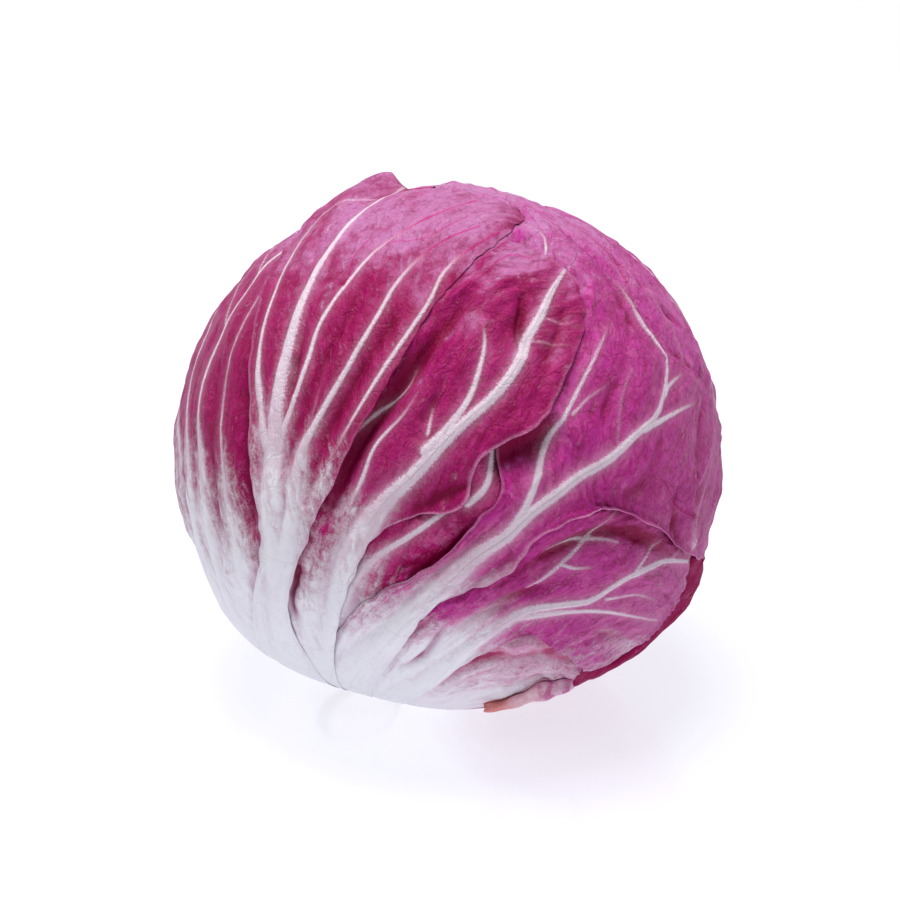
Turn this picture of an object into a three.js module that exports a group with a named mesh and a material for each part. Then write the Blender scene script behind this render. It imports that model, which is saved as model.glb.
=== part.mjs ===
// A round head of radicchio (red chicory), lying on the flat spot beside its cut stem.
//
// Every outer leaf grows from the stem and wraps part of the head. A leaf is a thin shell
// lofted between its left margin, its midrib and its right margin. The leaves are laid from
// the outside in: each one is pressed up under the leaves that already cover it, and the
// heart of packed inner leaves fills what is left.
//
// Millimetres, +Z up, origin in the middle of the resting spot.

import * as THREE from 'three';
import { mergeVertices } from 'three/addons/utils/BufferGeometryUtils.js';

// The head
const HEAD_WIDTH = 120;
const HEAD_FLATTENING = 0.975; // height of the round shape over its width
const CENTRE_HEIGHT = 56; // the resting spot cuts the round shape a little short
const STEM_TILT = 24; // degrees between the stem and straight down
const STEM_HEADING = 211; // degrees, the way the stem leans, counted from +X

// Leaves
const BLADE = 1.0; // thickness at a margin
const RIB_EXTRA = 1.5; // more thickness at the foot of a midrib
const RIB_SPREAD = 0.22; // half-width of that thickening, as a share of the leaf's width
const GAP = 0.6; // air between a leaf and what covers it
const ROWS = 16;
const COLUMNS = 10;
const SMOOTHINGS = 6;

// Heart and stem
const HEART_DEPTH = 8.5; // least depth of the heart below the head's surface
const STEM_CONE = 8.6; // degrees between the stem's axis and its flaring side
const STEM_END = 56.5; // distance of the cut face from the head's centre
const STEM_FOOT = 42; // where the stem meets the heart
const HEART_DIMPLE = 41.5; // the heart stays short of the stem's foot
const DIMPLE_SPREAD = 12; // degrees round the stem
const HEART_RINGS = 18; // a ring every 10 degrees from the stem
const HEART_SECTORS = 40;
const HEART_REACH = 7; // degrees that a point of the heart feels round itself for leaves

// Places that stand off the round shape
const TORN_TIP_LIFT = 2.4;
const STUB_LIFT = 2.2;

const CENTRE = new THREE.Vector3(0, 0, CENTRE_HEIGHT);
const radians = THREE.MathUtils.degToRad;

// The stem's direction, and the two directions square to it that azimuths are counted by.
const stem = new THREE.Vector3(
  Math.sin(radians(STEM_TILT)) * Math.cos(radians(STEM_HEADING)),
  Math.sin(radians(STEM_TILT)) * Math.sin(radians(STEM_HEADING)),
  -Math.cos(radians(STEM_TILT)),
);
const apex = stem.clone().negate();
const front = new THREE.Vector3(0, -1, 0).projectOnPlane(apex).normalize();
const side = new THREE.Vector3().crossVectors(apex, front);

// Direction from the head's centre: degrees away from the stem, then degrees round it.
function towards([angle, azimuth]) {
  const across = front.clone().multiplyScalar(Math.cos(radians(azimuth)));
  across.addScaledVector(side, Math.sin(radians(azimuth)));
  const ahead = stem.clone().multiplyScalar(Math.cos(radians(angle)));
  return ahead.addScaledVector(across, Math.sin(radians(angle)));
}

// Radius of the round shape, which is an ellipsoid.
function roundRadius(direction) {
  const tall = direction.z / HEAD_FLATTENING;
  return HEAD_WIDTH / 2 / Math.hypot(direction.x, direction.y, tall);
}

// The head's weight flattens it against what it rests on.
function flattened(direction, radius) {
  return direction.z < 0 ? Math.min(radius, CENTRE_HEIGHT / -direction.z) : radius;
}

// Lowest radius that the leaves laid so far leave free, kept in small cells of direction.
class Ceiling {
  constructor() {
    this.cellsPerUnit = 26;
    this.cells = new Map();
  }

  cell(direction, dx = 0, dy = 0, dz = 0) {
    const [x, y, z] = direction.toArray().map((c) => Math.round(c * this.cellsPerUnit));
    return `${x + dx},${y + dy},${z + dz}`;
  }

  lower(direction, radius) {
    const key = this.cell(direction);
    this.cells.set(key, Math.min(radius, this.cells.get(key) ?? Infinity));
  }

  // Infinity where nothing covers this direction yet.
  limit(direction) {
    let lowest = Infinity;
    const near = [-1, 0, 1];
    for (const dx of near) for (const dy of near) for (const dz of near) {
      const found = this.cells.get(this.cell(direction, dx, dy, dz));
      if (found !== undefined) lowest = Math.min(lowest, found - GAP);
    }
    return lowest;
  }
}
const ceiling = new Ceiling();

// Points along a margin or midrib, evenly spaced on the unit sphere.
function spaced(angles) {
  const curve = new THREE.CatmullRomCurve3(angles.map(towards));
  return curve.getSpacedPoints(ROWS).map((point) => point.normalize());
}

// The leaf's grid of directions, row by row from the stem to the tip.
function directionsOf(leaf) {
  const lefts = spaced(leaf.left);
  const ribs = spaced(leaf.rib);
  const rights = spaced(leaf.right);
  return lefts.map((left, row) => {
    const rib = ribs[row];
    const right = rights[row];
    const share = left.distanceTo(rib) / (left.distanceTo(rib) + rib.distanceTo(right));
    return Array.from({ length: COLUMNS + 1 }, (_, column) => {
      const v = column / COLUMNS;
      const ofLeft = ((v - share) * (v - 1)) / share;
      const ofRib = (v * (v - 1)) / (share * (share - 1));
      const ofRight = (v * (v - share)) / (1 - share);
      const point = left.clone().multiplyScalar(ofLeft);
      point.addScaledVector(rib, ofRib).addScaledVector(right, ofRight);
      return { direction: point.normalize(), u: row / ROWS, v, fromRib: v - share };
    });
  });
}

// Outer radius at each grid point: as far out as the leaves above leave room, evened out.
function outerRadii(grid) {
  const at = (row, column) => grid[row]?.[column];
  const steps = [-1, 0, 1];
  const limits = grid.map((line, row) => line.map((point, column) => {
    let lowest = roundRadius(point.direction);
    for (const down of steps) for (const along of steps) {
      const neighbour = at(row + down, column + along) ?? point;
      for (const part of [0, 0.25, 0.5, 0.75, 1]) {
        const probe = point.direction.clone().lerp(neighbour.direction, part).normalize();
        lowest = Math.min(lowest, ceiling.limit(probe));
      }
    }
    return lowest;
  }));
  let radii = limits;
  for (let time = 0; time < SMOOTHINGS; time += 1) {
    const before = radii;
    radii = before.map((line, row) => line.map((own, column) => {
      let sum = 0;
      for (const down of steps) for (const along of steps) {
        sum += before[row + down]?.[column + along] ?? own;
      }
      return Math.min(limits[row][column], sum / 9);
    }));
  }
  return radii.map((line, row) => line.map(
    (radius, column) => flattened(grid[row][column].direction, radius),
  ));
}

function thickness({ u, fromRib }) {
  const ridge = Math.exp(-((fromRib / RIB_SPREAD) ** 2));
  return BLADE + RIB_EXTRA * ridge * (1 - u) ** 1.5;
}

// Marks the space that a laid leaf takes, by sampling the facets of its inner side.
function pressDown(grid, inner) {
  const samples = [0, 0.17, 0.33, 0.5, 0.67, 0.83, 1];
  const place = (row, column) => grid[row][column].direction.clone()
    .multiplyScalar(inner[row][column]);
  for (let row = 0; row < ROWS; row += 1) {
    for (let column = 0; column < COLUMNS; column += 1) {
      const near = [place(row, column), place(row, column + 1)];
      const far = [place(row + 1, column), place(row + 1, column + 1)];
      for (const p of samples) for (const q of samples) {
        const low = near[0].clone().lerp(near[1], q);
        const point = low.lerp(far[0].clone().lerp(far[1], q), p);
        const radius = point.length();
        ceiling.lower(point.divideScalar(radius), radius);
      }
    }
  }
}

// A leaf starts as a flat box, one cell thick, whose points move to the two sides.
function leafMesh(leaf) {
  const grid = directionsOf(leaf);
  const outer = outerRadii(grid);
  const inner = grid.map((line, row) => line.map(
    (point, column) => outer[row][column] - thickness(point),
  ));
  pressDown(grid, inner);
  const box = new THREE.BoxGeometry(1, 1, 1, COLUMNS, ROWS, 1);
  const geometry = bare(box);
  movePoints(geometry, (point) => {
    const row = Math.round((point.y + 0.5) * ROWS);
    const column = Math.round((point.x + 0.5) * COLUMNS);
    const { direction } = grid[row][column];
    const radius = point.z > 0 ? outer[row][column] : inner[row][column];
    const lift = leaf.lift ? leaf.lift(grid[row][column]) : 0;
    return direction.clone().multiplyScalar(radius + lift).add(CENTRE);
  });
  return named(leaf.name, geometry, leaf.colour);
}

// Only positions, with the points that faces share merged into one.
function bare(geometry) {
  geometry.deleteAttribute('normal');
  geometry.deleteAttribute('uv');
  return mergeVertices(geometry);
}

function movePoints(geometry, place) {
  const positions = geometry.getAttribute('position');
  const point = new THREE.Vector3();
  for (let index = 0; index < positions.count; index += 1) {
    const moved = place(point.fromBufferAttribute(positions, index));
    positions.setXYZ(index, moved.x, moved.y, Math.abs(moved.z) < 1e-6 ? 0 : moved.z);
  }
}

function named(name, geometry, colour) {
  geometry.computeVertexNormals();
  const material = new THREE.MeshStandardMaterial({ color: colour, roughness: 0.5, metalness: 0 });
  const mesh = new THREE.Mesh(geometry, material);
  mesh.name = name;
  return mesh;
}

// The packed inner leaves, as one closed body under all the outer ones.
function heartMesh() {
  const geometry = bare(new THREE.SphereGeometry(1, HEART_SECTORS, HEART_RINGS));
  const turn = new THREE.Quaternion().setFromUnitVectors(new THREE.Vector3(0, -1, 0), stem);
  const reach = radians(HEART_REACH);
  movePoints(geometry, (point) => {
    const direction = point.clone().normalize().applyQuaternion(turn);
    let radius = flattened(direction, roundRadius(direction)) - HEART_DEPTH;
    for (let way = 0; way < 8; way += 1) {
      const away = new THREE.Vector3(direction.y, direction.z, direction.x).cross(direction);
      away.normalize().applyAxisAngle(direction, (way * Math.PI) / 4);
      for (const part of [0, 0.5, 1]) {
        const probe = direction.clone().addScaledVector(away, reach * part).normalize();
        radius = Math.min(radius, ceiling.limit(probe));
      }
    }
    const beside = direction.dot(stem) > Math.cos(radians(DIMPLE_SPREAD));
    if (beside) radius = Math.min(radius, HEART_DIMPLE);
    return direction.multiplyScalar(radius).add(CENTRE);
  });
  return named('heart', geometry, 0x8c1348);
}

// The cut stem: a short stub that flares outwards, with a slightly bevelled cut face.
function stemMesh() {
  const bevel = 0.8;
  const flare = Math.tan(radians(STEM_CONE));
  const profile = [
    new THREE.Vector2(0, STEM_FOOT),
    new THREE.Vector2(STEM_FOOT * flare, STEM_FOOT),
    new THREE.Vector2((STEM_END - bevel) * flare, STEM_END - bevel),
    new THREE.Vector2(STEM_END * flare - bevel, STEM_END),
    new THREE.Vector2(0, STEM_END),
  ];
  const geometry = bare(new THREE.LatheGeometry(profile, 28));
  geometry.applyQuaternion(
    new THREE.Quaternion().setFromUnitVectors(new THREE.Vector3(0, 1, 0), stem),
  );
  geometry.translate(CENTRE.x, CENTRE.y, CENTRE.z);
  return named('cut_stem', geometry, 0xe9e4d8);
}

// The leaves from the outermost in. Each margin and midrib is a few directions, as degrees
// away from the stem and degrees round it, from the foot of the leaf to its tip.
const leaves = [
  {
    name: 'front_left_leaf',
    colour: 0xb23a86,
    left: [[10, -78], [32, -54], [50, -44], [66, -40], [77, -45], [90, -52], [103, -61],
      [117, -73], [132, -95], [143, -101]],
    rib: [[10, -44], [40, -35], [62, -35], [78, -40], [95, -45], [116, -54], [138, -69],
      [151, -85]],
    right: [[10, -12], [32, -26], [50, -31], [68, -29], [84, -26], [104, -24], [125, -22],
      [140, -19], [152, -14], [162, -12]],
    // The tip is torn off on the midrib's left, and what is left of it stands up.
    lift: ({ u, v }) => TORN_TIP_LIFT * Math.max(0, u - 0.8) * 5 * Math.max(0, 1 - 2.5 * v),
  },
  {
    name: 'centre_leaf',
    colour: 0xb23a86,
    left: [[10, -44], [40, -34], [62, -38], [85, -38], [110, -38], [132, -38], [149, -22]],
    rib: [[10, -26], [48, -19], [70, -19], [85, -15], [96, -9], [111, -2], [125, 1], [144, 9]],
    right: [[10, -8], [40, -17], [58, -17], [70, -16], [78, -14], [83, -9], [88, -1], [97, -1],
      [103, 3], [109, 9], [120, 12], [133, 16], [142, 13]],
  },
  {
    name: 'right_leaf',
    colour: 0xb23a86,
    left: [[10, -22], [38, -15], [52, -12], [63, -9], [73, -7], [82, -2], [95, 0], [115, 0],
      [135, 2], [150, 2], [159, 9]],
    rib: [[10, -4], [40, -8], [56, -4], [67, 0], [76, 4], [90, 12], [105, 25], [118, 38],
      [131, 45]],
    right: [[10, 16], [40, -2], [56, 0], [68, 2], [77, 12], [88, 16], [96, 28], [95, 42],
      [90, 58], [90, 76], [104, 84], [118, 80]],
  },
  {
    name: 'underside_leaf',
    colour: 0xd8cfe0,
    left: [[10, 70], [28, 72], [50, 84], [75, 92], [100, 96], [116, 104]],
    rib: [[10, 112], [45, 116], [80, 120], [108, 122], [125, 124]],
    right: [[10, 154], [28, 158], [50, 155], [80, 152], [105, 148], [120, 140]],
  },
  {
    name: 'lower_right_leaf',
    colour: 0xb23a86,
    left: [[10, -6], [40, 0], [60, 5], [76, 14], [92, 28], [102, 42], [104, 60], [98, 76]],
    rib: [[10, 18], [40, 12], [56, 13], [67, 17], [77, 31], [85, 44], [88, 58], [89, 77]],
    right: [[10, 42], [38, 14], [54, 16], [66, 23], [62, 33], [59, 45], [57, 60], [62, 71],
      [75, 76]],
  },
  {
    name: 'withered_leaf',
    colour: 0xc9a2bf,
    left: [[10, 14], [36, 9], [52, 13], [60, 24], [61, 42]],
    rib: [[10, 36], [30, 26], [43, 32], [52, 48]],
    right: [[10, 60], [26, 44], [36, 50], [44, 60]],
    // The free edge is rolled into a stub that hangs clear.
    lift: ({ u, v }) => STUB_LIFT * Math.max(0, u - 0.3) * Math.max(0, v - 0.6) * 3.5,
  },
  {
    name: 'far_left_leaf',
    colour: 0xb23a86,
    left: [[10, -150], [40, -152], [70, -158], [100, -166], [126, -176], [146, 168],
      [158, 148]],
    rib: [[10, -114], [40, -112], [70, -118], [100, -128], [126, -142], [146, -158],
      [168, -170]],
    right: [[10, -80], [38, -72], [54, -68], [70, -78], [90, -95], [108, -110], [126, -120],
      [144, -122], [162, -104]],
  },
  {
    name: 'left_leaf',
    colour: 0xb23a86,
    left: [[10, -112], [40, -100], [70, -104], [100, -112], [124, -122], [138, -128]],
    rib: [[10, -78], [50, -60], [70, -63], [90, -70], [108, -75], [126, -84], [141, -104]],
    right: [[10, -46], [40, -40], [62, -38], [85, -42], [105, -52], [125, -66], [142, -84]],
  },
  {
    name: 'centre_inner_leaf',
    colour: 0xa02c74,
    left: [[10, -34], [40, -28], [70, -28], [90, -22], [108, -10]],
    rib: [[10, -14], [50, -16], [68, -15], [80, -8], [92, 0], [110, 8]],
    right: [[10, 8], [40, -2], [60, 2], [78, 10], [92, 16], [109, 18]],
  },
  {
    name: 'right_back_leaf',
    colour: 0xb23a86,
    left: [[10, 92], [40, 90], [66, 86], [84, 82], [97, 70], [108, 63], [126, 61], [142, 55],
      [157, 40], [168, 6], [167, -50]],
    rib: [[10, 124], [40, 122], [70, 118], [100, 110], [126, 106], [150, 100], [168, 80],
      [177, -110]],
    right: [[10, 156], [40, 156], [70, 152], [100, 148], [126, 146], [146, 148], [160, 164],
      [166, -150]],
  },
  {
    name: 'back_leaf',
    colour: 0xb23a86,
    left: [[10, 142], [40, 140], [70, 136], [100, 132], [126, 128], [150, 124]],
    rib: [[10, 178], [40, 176], [70, 175], [100, 172], [126, 168], [156, 160]],
    right: [[10, -146], [40, -148], [70, -148], [100, -150], [126, -156], [150, -172]],
  },
  {
    name: 'crown_leaf',
    colour: 0xb23a86,
    left: [[10, -14], [40, -18], [70, -16], [100, -16], [130, -18], [148, -34], [156, -74]],
    rib: [[10, 26], [40, 18], [70, 14], [100, 8], [126, 4], [146, 2], [156, -18], [164, -70]],
    right: [[10, 64], [40, 64], [70, 68], [100, 74], [126, 76], [146, 74], [162, 66],
      [174, 20], [172, -100]],
  },
  {
    name: 'dark_inner_leaf',
    colour: 0x8c1348,
    left: [[10, 44], [40, 48], [66, 56], [90, 66], [110, 72]],
    rib: [[10, 72], [40, 68], [66, 78], [92, 88], [114, 92]],
    right: [[10, 102], [40, 90], [66, 98], [92, 106], [112, 108]],
  },
  {
    name: 'inner_back_leaf',
    colour: 0xa02c74,
    left: [[10, 114], [40, 108], [70, 108], [100, 108], [130, 112], [152, 124]],
    rib: [[10, 146], [40, 144], [70, 144], [100, 146], [132, 150], [162, 168]],
    right: [[10, 180], [40, 180], [70, -178], [100, -174], [130, -168], [152, -156]],
  },
  {
    name: 'inner_left_leaf',
    colour: 0xa02c74,
    left: [[10, -166], [40, -170], [70, -172], [100, -172], [130, -166], [154, -150]],
    rib: [[10, -130], [40, -132], [70, -134], [100, -134], [132, -130], [162, -110]],
    right: [[10, -96], [40, -94], [70, -96], [100, -98], [130, -96], [152, -80]],
  },
];

const head = new THREE.Group();
head.add(...leaves.map(leafMesh), heartMesh(), stemMesh());

export default head;
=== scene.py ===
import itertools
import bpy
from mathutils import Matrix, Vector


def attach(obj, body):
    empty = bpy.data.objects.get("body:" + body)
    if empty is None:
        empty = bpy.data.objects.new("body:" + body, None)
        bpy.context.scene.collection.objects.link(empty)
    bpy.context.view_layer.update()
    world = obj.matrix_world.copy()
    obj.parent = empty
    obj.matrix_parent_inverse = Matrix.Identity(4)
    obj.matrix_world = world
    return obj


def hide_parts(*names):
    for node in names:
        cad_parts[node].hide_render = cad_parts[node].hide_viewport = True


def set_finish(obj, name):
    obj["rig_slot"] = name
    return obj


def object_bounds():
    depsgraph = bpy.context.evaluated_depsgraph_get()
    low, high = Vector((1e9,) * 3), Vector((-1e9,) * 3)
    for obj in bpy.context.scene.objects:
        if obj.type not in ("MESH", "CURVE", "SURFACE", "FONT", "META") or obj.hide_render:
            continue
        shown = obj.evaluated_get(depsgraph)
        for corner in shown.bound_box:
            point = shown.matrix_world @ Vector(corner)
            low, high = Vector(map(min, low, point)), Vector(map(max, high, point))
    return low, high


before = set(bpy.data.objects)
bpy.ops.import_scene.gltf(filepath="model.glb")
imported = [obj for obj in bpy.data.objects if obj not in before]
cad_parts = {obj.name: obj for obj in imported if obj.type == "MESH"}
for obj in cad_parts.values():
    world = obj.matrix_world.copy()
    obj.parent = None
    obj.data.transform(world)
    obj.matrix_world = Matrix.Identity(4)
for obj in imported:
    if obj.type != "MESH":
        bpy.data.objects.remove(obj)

# %% [markdown]
# # A head of radicchio
# A radicchio is a bud of leaves that all grow from one short stem. Each leaf is a thin
# sheet with a thick white midrib on its outside, and the outer leaves wrap the inner ones.
# This file models every leaf as a sheet on a round head, lays the sheets from the outside
# in, so that each one is pressed under those that cover it, and paints them with one finish.

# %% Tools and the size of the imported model
from types import SimpleNamespace

import bmesh
import bpy
import numpy as np
from mathutils import Vector

MM = 0.001  # the leaf maths is in millimetres, and Blender is in metres
cad_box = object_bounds()
cad_low, cad_high = (np.array(corner) / MM for corner in cad_box)
print("packed model, mm:", np.round(cad_high - cad_low, 1))

# %% [markdown]
# ## The round shape
# The head is a ball, a little flatter than it is wide, that sits on a small flat spot.
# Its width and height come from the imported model's box. The leaves are drawn on the ball
# as places on a globe are: by the angle away from the stem, and the angle round it. That
# keeps a list of points short and easy to change, where a list of x, y and z isn't.

# %% The ball and its angles
HEAD_RADIUS = (cad_high - cad_low)[0] / 2
HEAD_FLATTENING = 0.975
CENTRE_HEIGHT = cad_high[2] - HEAD_RADIUS * HEAD_FLATTENING
STEM_TILT = np.radians(24)  # between the stem and straight down
STEM_HEADING = np.radians(211)  # the way the stem leans, counted from +X
# No head is a perfect ball. Each bulge or hollow is a place in degrees, a height in mm and
# a reach in degrees.
BULGES = (
    ((74, 80), 2.8, 21),
    ((28, -80), 2.7, 17),
    ((169, 170), -2.2, 24),
    ((134, -106), -2.2, 17),
    ((99, -99), -0.9, 14),
    ((11, 30), -1.6, 11),
)

centre = np.array([0, 0, CENTRE_HEIGHT])
lean = np.array([np.cos(STEM_HEADING), np.sin(STEM_HEADING), 0])
stem = np.sin(STEM_TILT) * lean - np.cos(STEM_TILT) * np.array([0, 0, 1])
front = np.array([0, -1, 0]) - stem * -stem[1]
front /= np.linalg.norm(front)
side = np.cross(-stem, front)


def unit(vectors):
    return vectors / np.linalg.norm(vectors, axis=-1, keepdims=True)


def towards(angles):
    """Directions for pairs of degrees: away from the stem, then round it."""
    away, turned = np.radians(np.array(angles, float)).T[..., None]
    across = np.cos(turned) * front + np.sin(turned) * side
    return np.cos(away) * stem + np.sin(away) * across


def angle_from(directions, place):
    return np.degrees(np.arccos(np.clip(directions @ towards([place])[0], -1, 1)))


def round_radius(directions):
    squashed = directions / [1, 1, HEAD_FLATTENING]
    radius = HEAD_RADIUS / np.linalg.norm(squashed, axis=-1)
    for place, height, reach in BULGES:
        radius = radius + height * np.exp(-((angle_from(directions, place) / reach) ** 2))
    return radius


def smoothstep(value, start, end):
    part = np.clip((value - start) / (end - start), 0, 1)
    return part * part * (3 - 2 * part)


print("head radius", round(HEAD_RADIUS, 1), "mm, centre at", round(CENTRE_HEIGHT, 1), "mm")

# %% [markdown]
# ## Camera
# A long lens from a little above the table keeps the ball round. It points a little beside
# and below the middle of the head.

# %% Camera
CAMERA_ELEVATION = np.radians(22)
CAMERA_DISTANCE = 4.64 * 2 * HEAD_RADIUS
CAMERA_LENS = 100
AIM_BESIDE, AIM_BELOW = 0.55, 1.1  # mm from the middle of the head

looking = np.array([0, np.cos(CAMERA_ELEVATION), -np.sin(CAMERA_ELEVATION)])
upward = np.array([0, np.sin(CAMERA_ELEVATION), np.cos(CAMERA_ELEVATION)])
aim = centre + [AIM_BESIDE, 0, 0] - AIM_BELOW * upward
camera_data = bpy.data.cameras.new("camera")
camera_data.lens = CAMERA_LENS
camera = bpy.data.objects.new("camera", camera_data)
camera.location = (aim - looking * CAMERA_DISTANCE) * MM
camera.rotation_euler = Vector(looking).to_track_quat("-Z", "Y").to_euler()
bpy.context.scene.collection.objects.link(camera)
bpy.context.scene.camera = camera
bpy.context.scene.view_settings.view_transform = "Standard"
print("camera", np.round(camera.location, 3))

# %% [markdown]
# ## Smooth lines on the ball
# Margins, ribs and folds are all smooth lines through a few points. A Catmull-Rom curve
# passes through its points, so the points given are where the line goes. It is then cut into
# even steps, because the grid of a leaf needs rows of equal height. Distances to a line
# make ribs and folds, and added waves make everything that is uneven.


# %% Smooth lines
SPAN_POINTS = 24  # worked out from one typed point to the next
WAVE_LENGTHS = (0.7, 1.5)  # the waves of a field differ by these factors


def smooth_line(points, count, pace=1):
    """count + 1 directions on a smooth curve through the points.

    They are evenly spaced if pace is 1, and closer at the start if it is more."""
    knots = towards(points) if np.shape(points)[1] == 2 else np.array(points)
    before, after = 2 * knots[0] - knots[1], 2 * knots[-1] - knots[-2]
    knots = np.vstack([before, knots, after])
    gaps = np.linalg.norm(np.diff(knots, axis=0), axis=1) ** 0.5
    times = np.concatenate([[0], np.cumsum(gaps)])
    stretches = []
    for first in range(len(knots) - 3):
        a, b, c, d = knots[first : first + 4]
        ta, tb, tc, td = times[first : first + 4]
        t = np.linspace(tb, tc, SPAN_POINTS)[:, None]
        ab = ((tb - t) * a + (t - ta) * b) / (tb - ta)
        bc = ((tc - t) * b + (t - tb) * c) / (tc - tb)
        cd = ((td - t) * c + (t - tc) * d) / (td - tc)
        abc = ((tc - t) * ab + (t - ta) * bc) / (tc - ta)
        bcd = ((td - t) * bc + (t - tb) * cd) / (td - tb)
        stretches.append(((tc - t) * abc + (t - tb) * bcd) / (tc - tb))
    dense = np.vstack(stretches)
    walked = np.concatenate([[0], np.cumsum(np.linalg.norm(np.diff(dense, axis=0), axis=1))])
    even = walked[-1] * np.linspace(0, 1, count + 1) ** pace
    return unit(np.stack([np.interp(even, walked, axis) for axis in dense.T], axis=1))


def nearest(directions, line):
    """Distance in mm from each direction to the line, and how far along it that is, 0 to 1."""
    best = np.full(directions.shape[:-1], np.inf)
    along = np.zeros_like(best)
    for number, (start, step) in enumerate(zip(line, np.diff(line, axis=0))):
        part = np.clip((directions - start) @ step / (step @ step), 0, 1)
        away = np.linalg.norm(directions - start - part[..., None] * step, axis=-1)
        closer = away < best
        best[closer] = away[closer]
        along[closer] = (number + part[closer]) / (len(line) - 1)
    return best * HEAD_RADIUS, along


def ripples(points, wavelength, seed, waves=24):
    """A smooth random field of about -1 to 1: waves of random directions, added up."""
    random = np.random.default_rng(seed)
    turns = random.normal(size=(waves, points.shape[-1]))
    lengths = random.uniform(*WAVE_LENGTHS, waves) * 2 * np.pi / wavelength
    turns *= (lengths / np.linalg.norm(turns, axis=1))[:, None]
    phases = random.uniform(0, 2 * np.pi, waves)
    return np.sin(points @ turns.T + phases).sum(-1) / waves**0.5


meridian = smooth_line([(0, 0), (90, 0), (180, 0)], 18)
print("a line down the front:", len(meridian), "places, from", np.round(meridian[0], 2))

# %% [markdown]
# ## The sheet of a leaf
# A leaf is given by three lines: its left margin, its midrib and its right margin. Rows
# cross from margin to midrib to margin. A bent row is smooth over the midrib, but rows that
# bend too much fold the sheet over itself, so most of each row is straight. Where a margin
# is much longer than the midrib, a pace for each line keeps the rows level. The packed
# model is made the same way. Here the sheet gets a much finer grid, so that ribs and folds
# can be raised on it, and nibbled margins.


# %% Sheet of directions
STRAIGHT, BENT = 0.8, 0.2  # shares of a row
NIBBLES = ((5, 0), (16, 5))  # mm from one nibble to the next, and what its seed is moved by
NIBBLED = 6  # mm from a margin
HELD = (30, 60)  # mm from the foot of a leaf: held by the stem before, and free after


def sheet_between(left, rib, right, rows, columns, ragged, seed, paces):
    """Grid of directions, with the mm walked across and along the leaf at each point."""
    lefts, ribs, rights = (
        smooth_line(line, rows, pace) for line, pace in zip((left, rib, right), paces)
    )
    to_left = np.linalg.norm(lefts - ribs, axis=1)[:, None]
    to_right = np.linalg.norm(rights - ribs, axis=1)[:, None]
    share = to_left / (to_left + to_right)
    v = np.linspace(0, 1, columns + 1)[None]
    to_rib = np.clip(v / share, 0, 1)
    past_rib = np.clip((v - share) / (1 - share), 0, 1)
    of_left = STRAIGHT * (1 - to_rib) + BENT * (v - share) * (v - 1) / share
    of_rib = STRAIGHT * (to_rib - past_rib) + BENT * v * (v - 1) / (share * (share - 1))
    of_right = STRAIGHT * past_rib + BENT * v * (v - share) / (1 - share)
    grid = sum(
        weight[..., None] * line[:, None]
        for weight, line in ((of_left, lefts), (of_rib, ribs), (of_right, rights))
    )
    grid = unit(grid)
    steps_across = np.linalg.norm(np.diff(grid, axis=1), axis=-1) * HEAD_RADIUS
    across = np.pad(np.cumsum(steps_across, axis=1), ((0, 0), (1, 0)))
    steps_along = np.linalg.norm(np.diff(ribs, axis=0), axis=-1) * HEAD_RADIUS
    along = np.pad(np.cumsum(steps_along), (1, 0))[:, None] + 0 * across
    nibble = sum(
        np.stack([ripples(HEAD_RADIUS * grid, gap, seed + moved + axis) for axis in range(3)], -1)
        for gap, moved in NIBBLES
    )
    from_edge = np.minimum(across, across[:, -1:] - across)
    from_edge = np.minimum(from_edge, along[-1:] - along)
    free = np.clip(1 - from_edge / NIBBLED, 0, 1) * smoothstep(along, *HELD)
    grid = unit(grid + nibble * (ragged * free)[..., None] / HEAD_RADIUS)
    cell = (along[-1, 0] / rows, across[:, -1].mean() / columns)
    return {"grid": grid, "across": across, "along": along, "seed": seed, "cell": cell}


def evened(field, reach, cell):
    """Mean of the field over the points within reach mm along and across."""
    for axis in (0, 1):
        steps = max(1, round(reach / cell[axis]))
        width = [(steps + 1, steps) if a == axis else (0, 0) for a in (0, 1)]
        total = np.cumsum(np.pad(field, width, "edge"), axis=axis)
        length = field.shape[axis]
        high = np.take(total, np.arange(2 * steps + 1, 2 * steps + 1 + length), axis)
        field = (high - np.take(total, np.arange(length), axis)) / (2 * steps + 1)
    return field


strip = sheet_between(
    [(60, -20), (90, -20)], [(60, 0), (90, 0)], [(60, 20), (90, 20)], 60, 40, 0, 0, (1, 1, 1)
)
print("a trial sheet:", strip["grid"].shape[:2], "points,", round(strip["along"][-1, 0], 1), "mm")

# %% [markdown]
# ## Room under the leaves already laid
# Leaves in a head touch but never pass through each other. A block of small cells round
# the head remembers the lowest place of what has been laid, for each direction. The next
# leaf asks for that ceiling and stays a gap below it.

# %% Ceiling
CELLS = 105  # a cell is about 0.6 mm wide on the head's surface
SPARE = 3  # more cells past the ball on each side
GAP = 0.06  # mm of air between a leaf and what covers it
STAMP_STEP = 0.4  # mm between the places of a leaf that are written in
ceiling = np.full((2 * (CELLS + SPARE) + 1,) * 3, np.inf, np.float32)


def cells_of(directions):
    return np.rint(directions * CELLS).astype(int).T + CELLS + SPARE


def finer(field, times):
    """The field on a grid that is a few times finer, filled in by straight lines."""
    for axis in (0, 1):
        length = field.shape[axis] - 1
        places = np.linspace(0, length, length * times + 1)
        low = np.minimum(places.astype(int), length - 1)
        shape = [-1 if a == axis else 1 for a in range(field.ndim)]
        part = (places - low).reshape(shape)
        field = np.take(field, low, axis) * (1 - part) + np.take(field, low + 1, axis) * part
    return field


def lower_ceiling(directions, radii, cell):
    times = int(np.ceil(max(cell) / STAMP_STEP))
    points = finer(directions * radii[..., None], times).reshape(-1, 3)
    lengths = np.linalg.norm(points, axis=1).astype(np.float32)
    np.minimum.at(ceiling, tuple(cells_of(points / lengths[:, None])), lengths)


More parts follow.
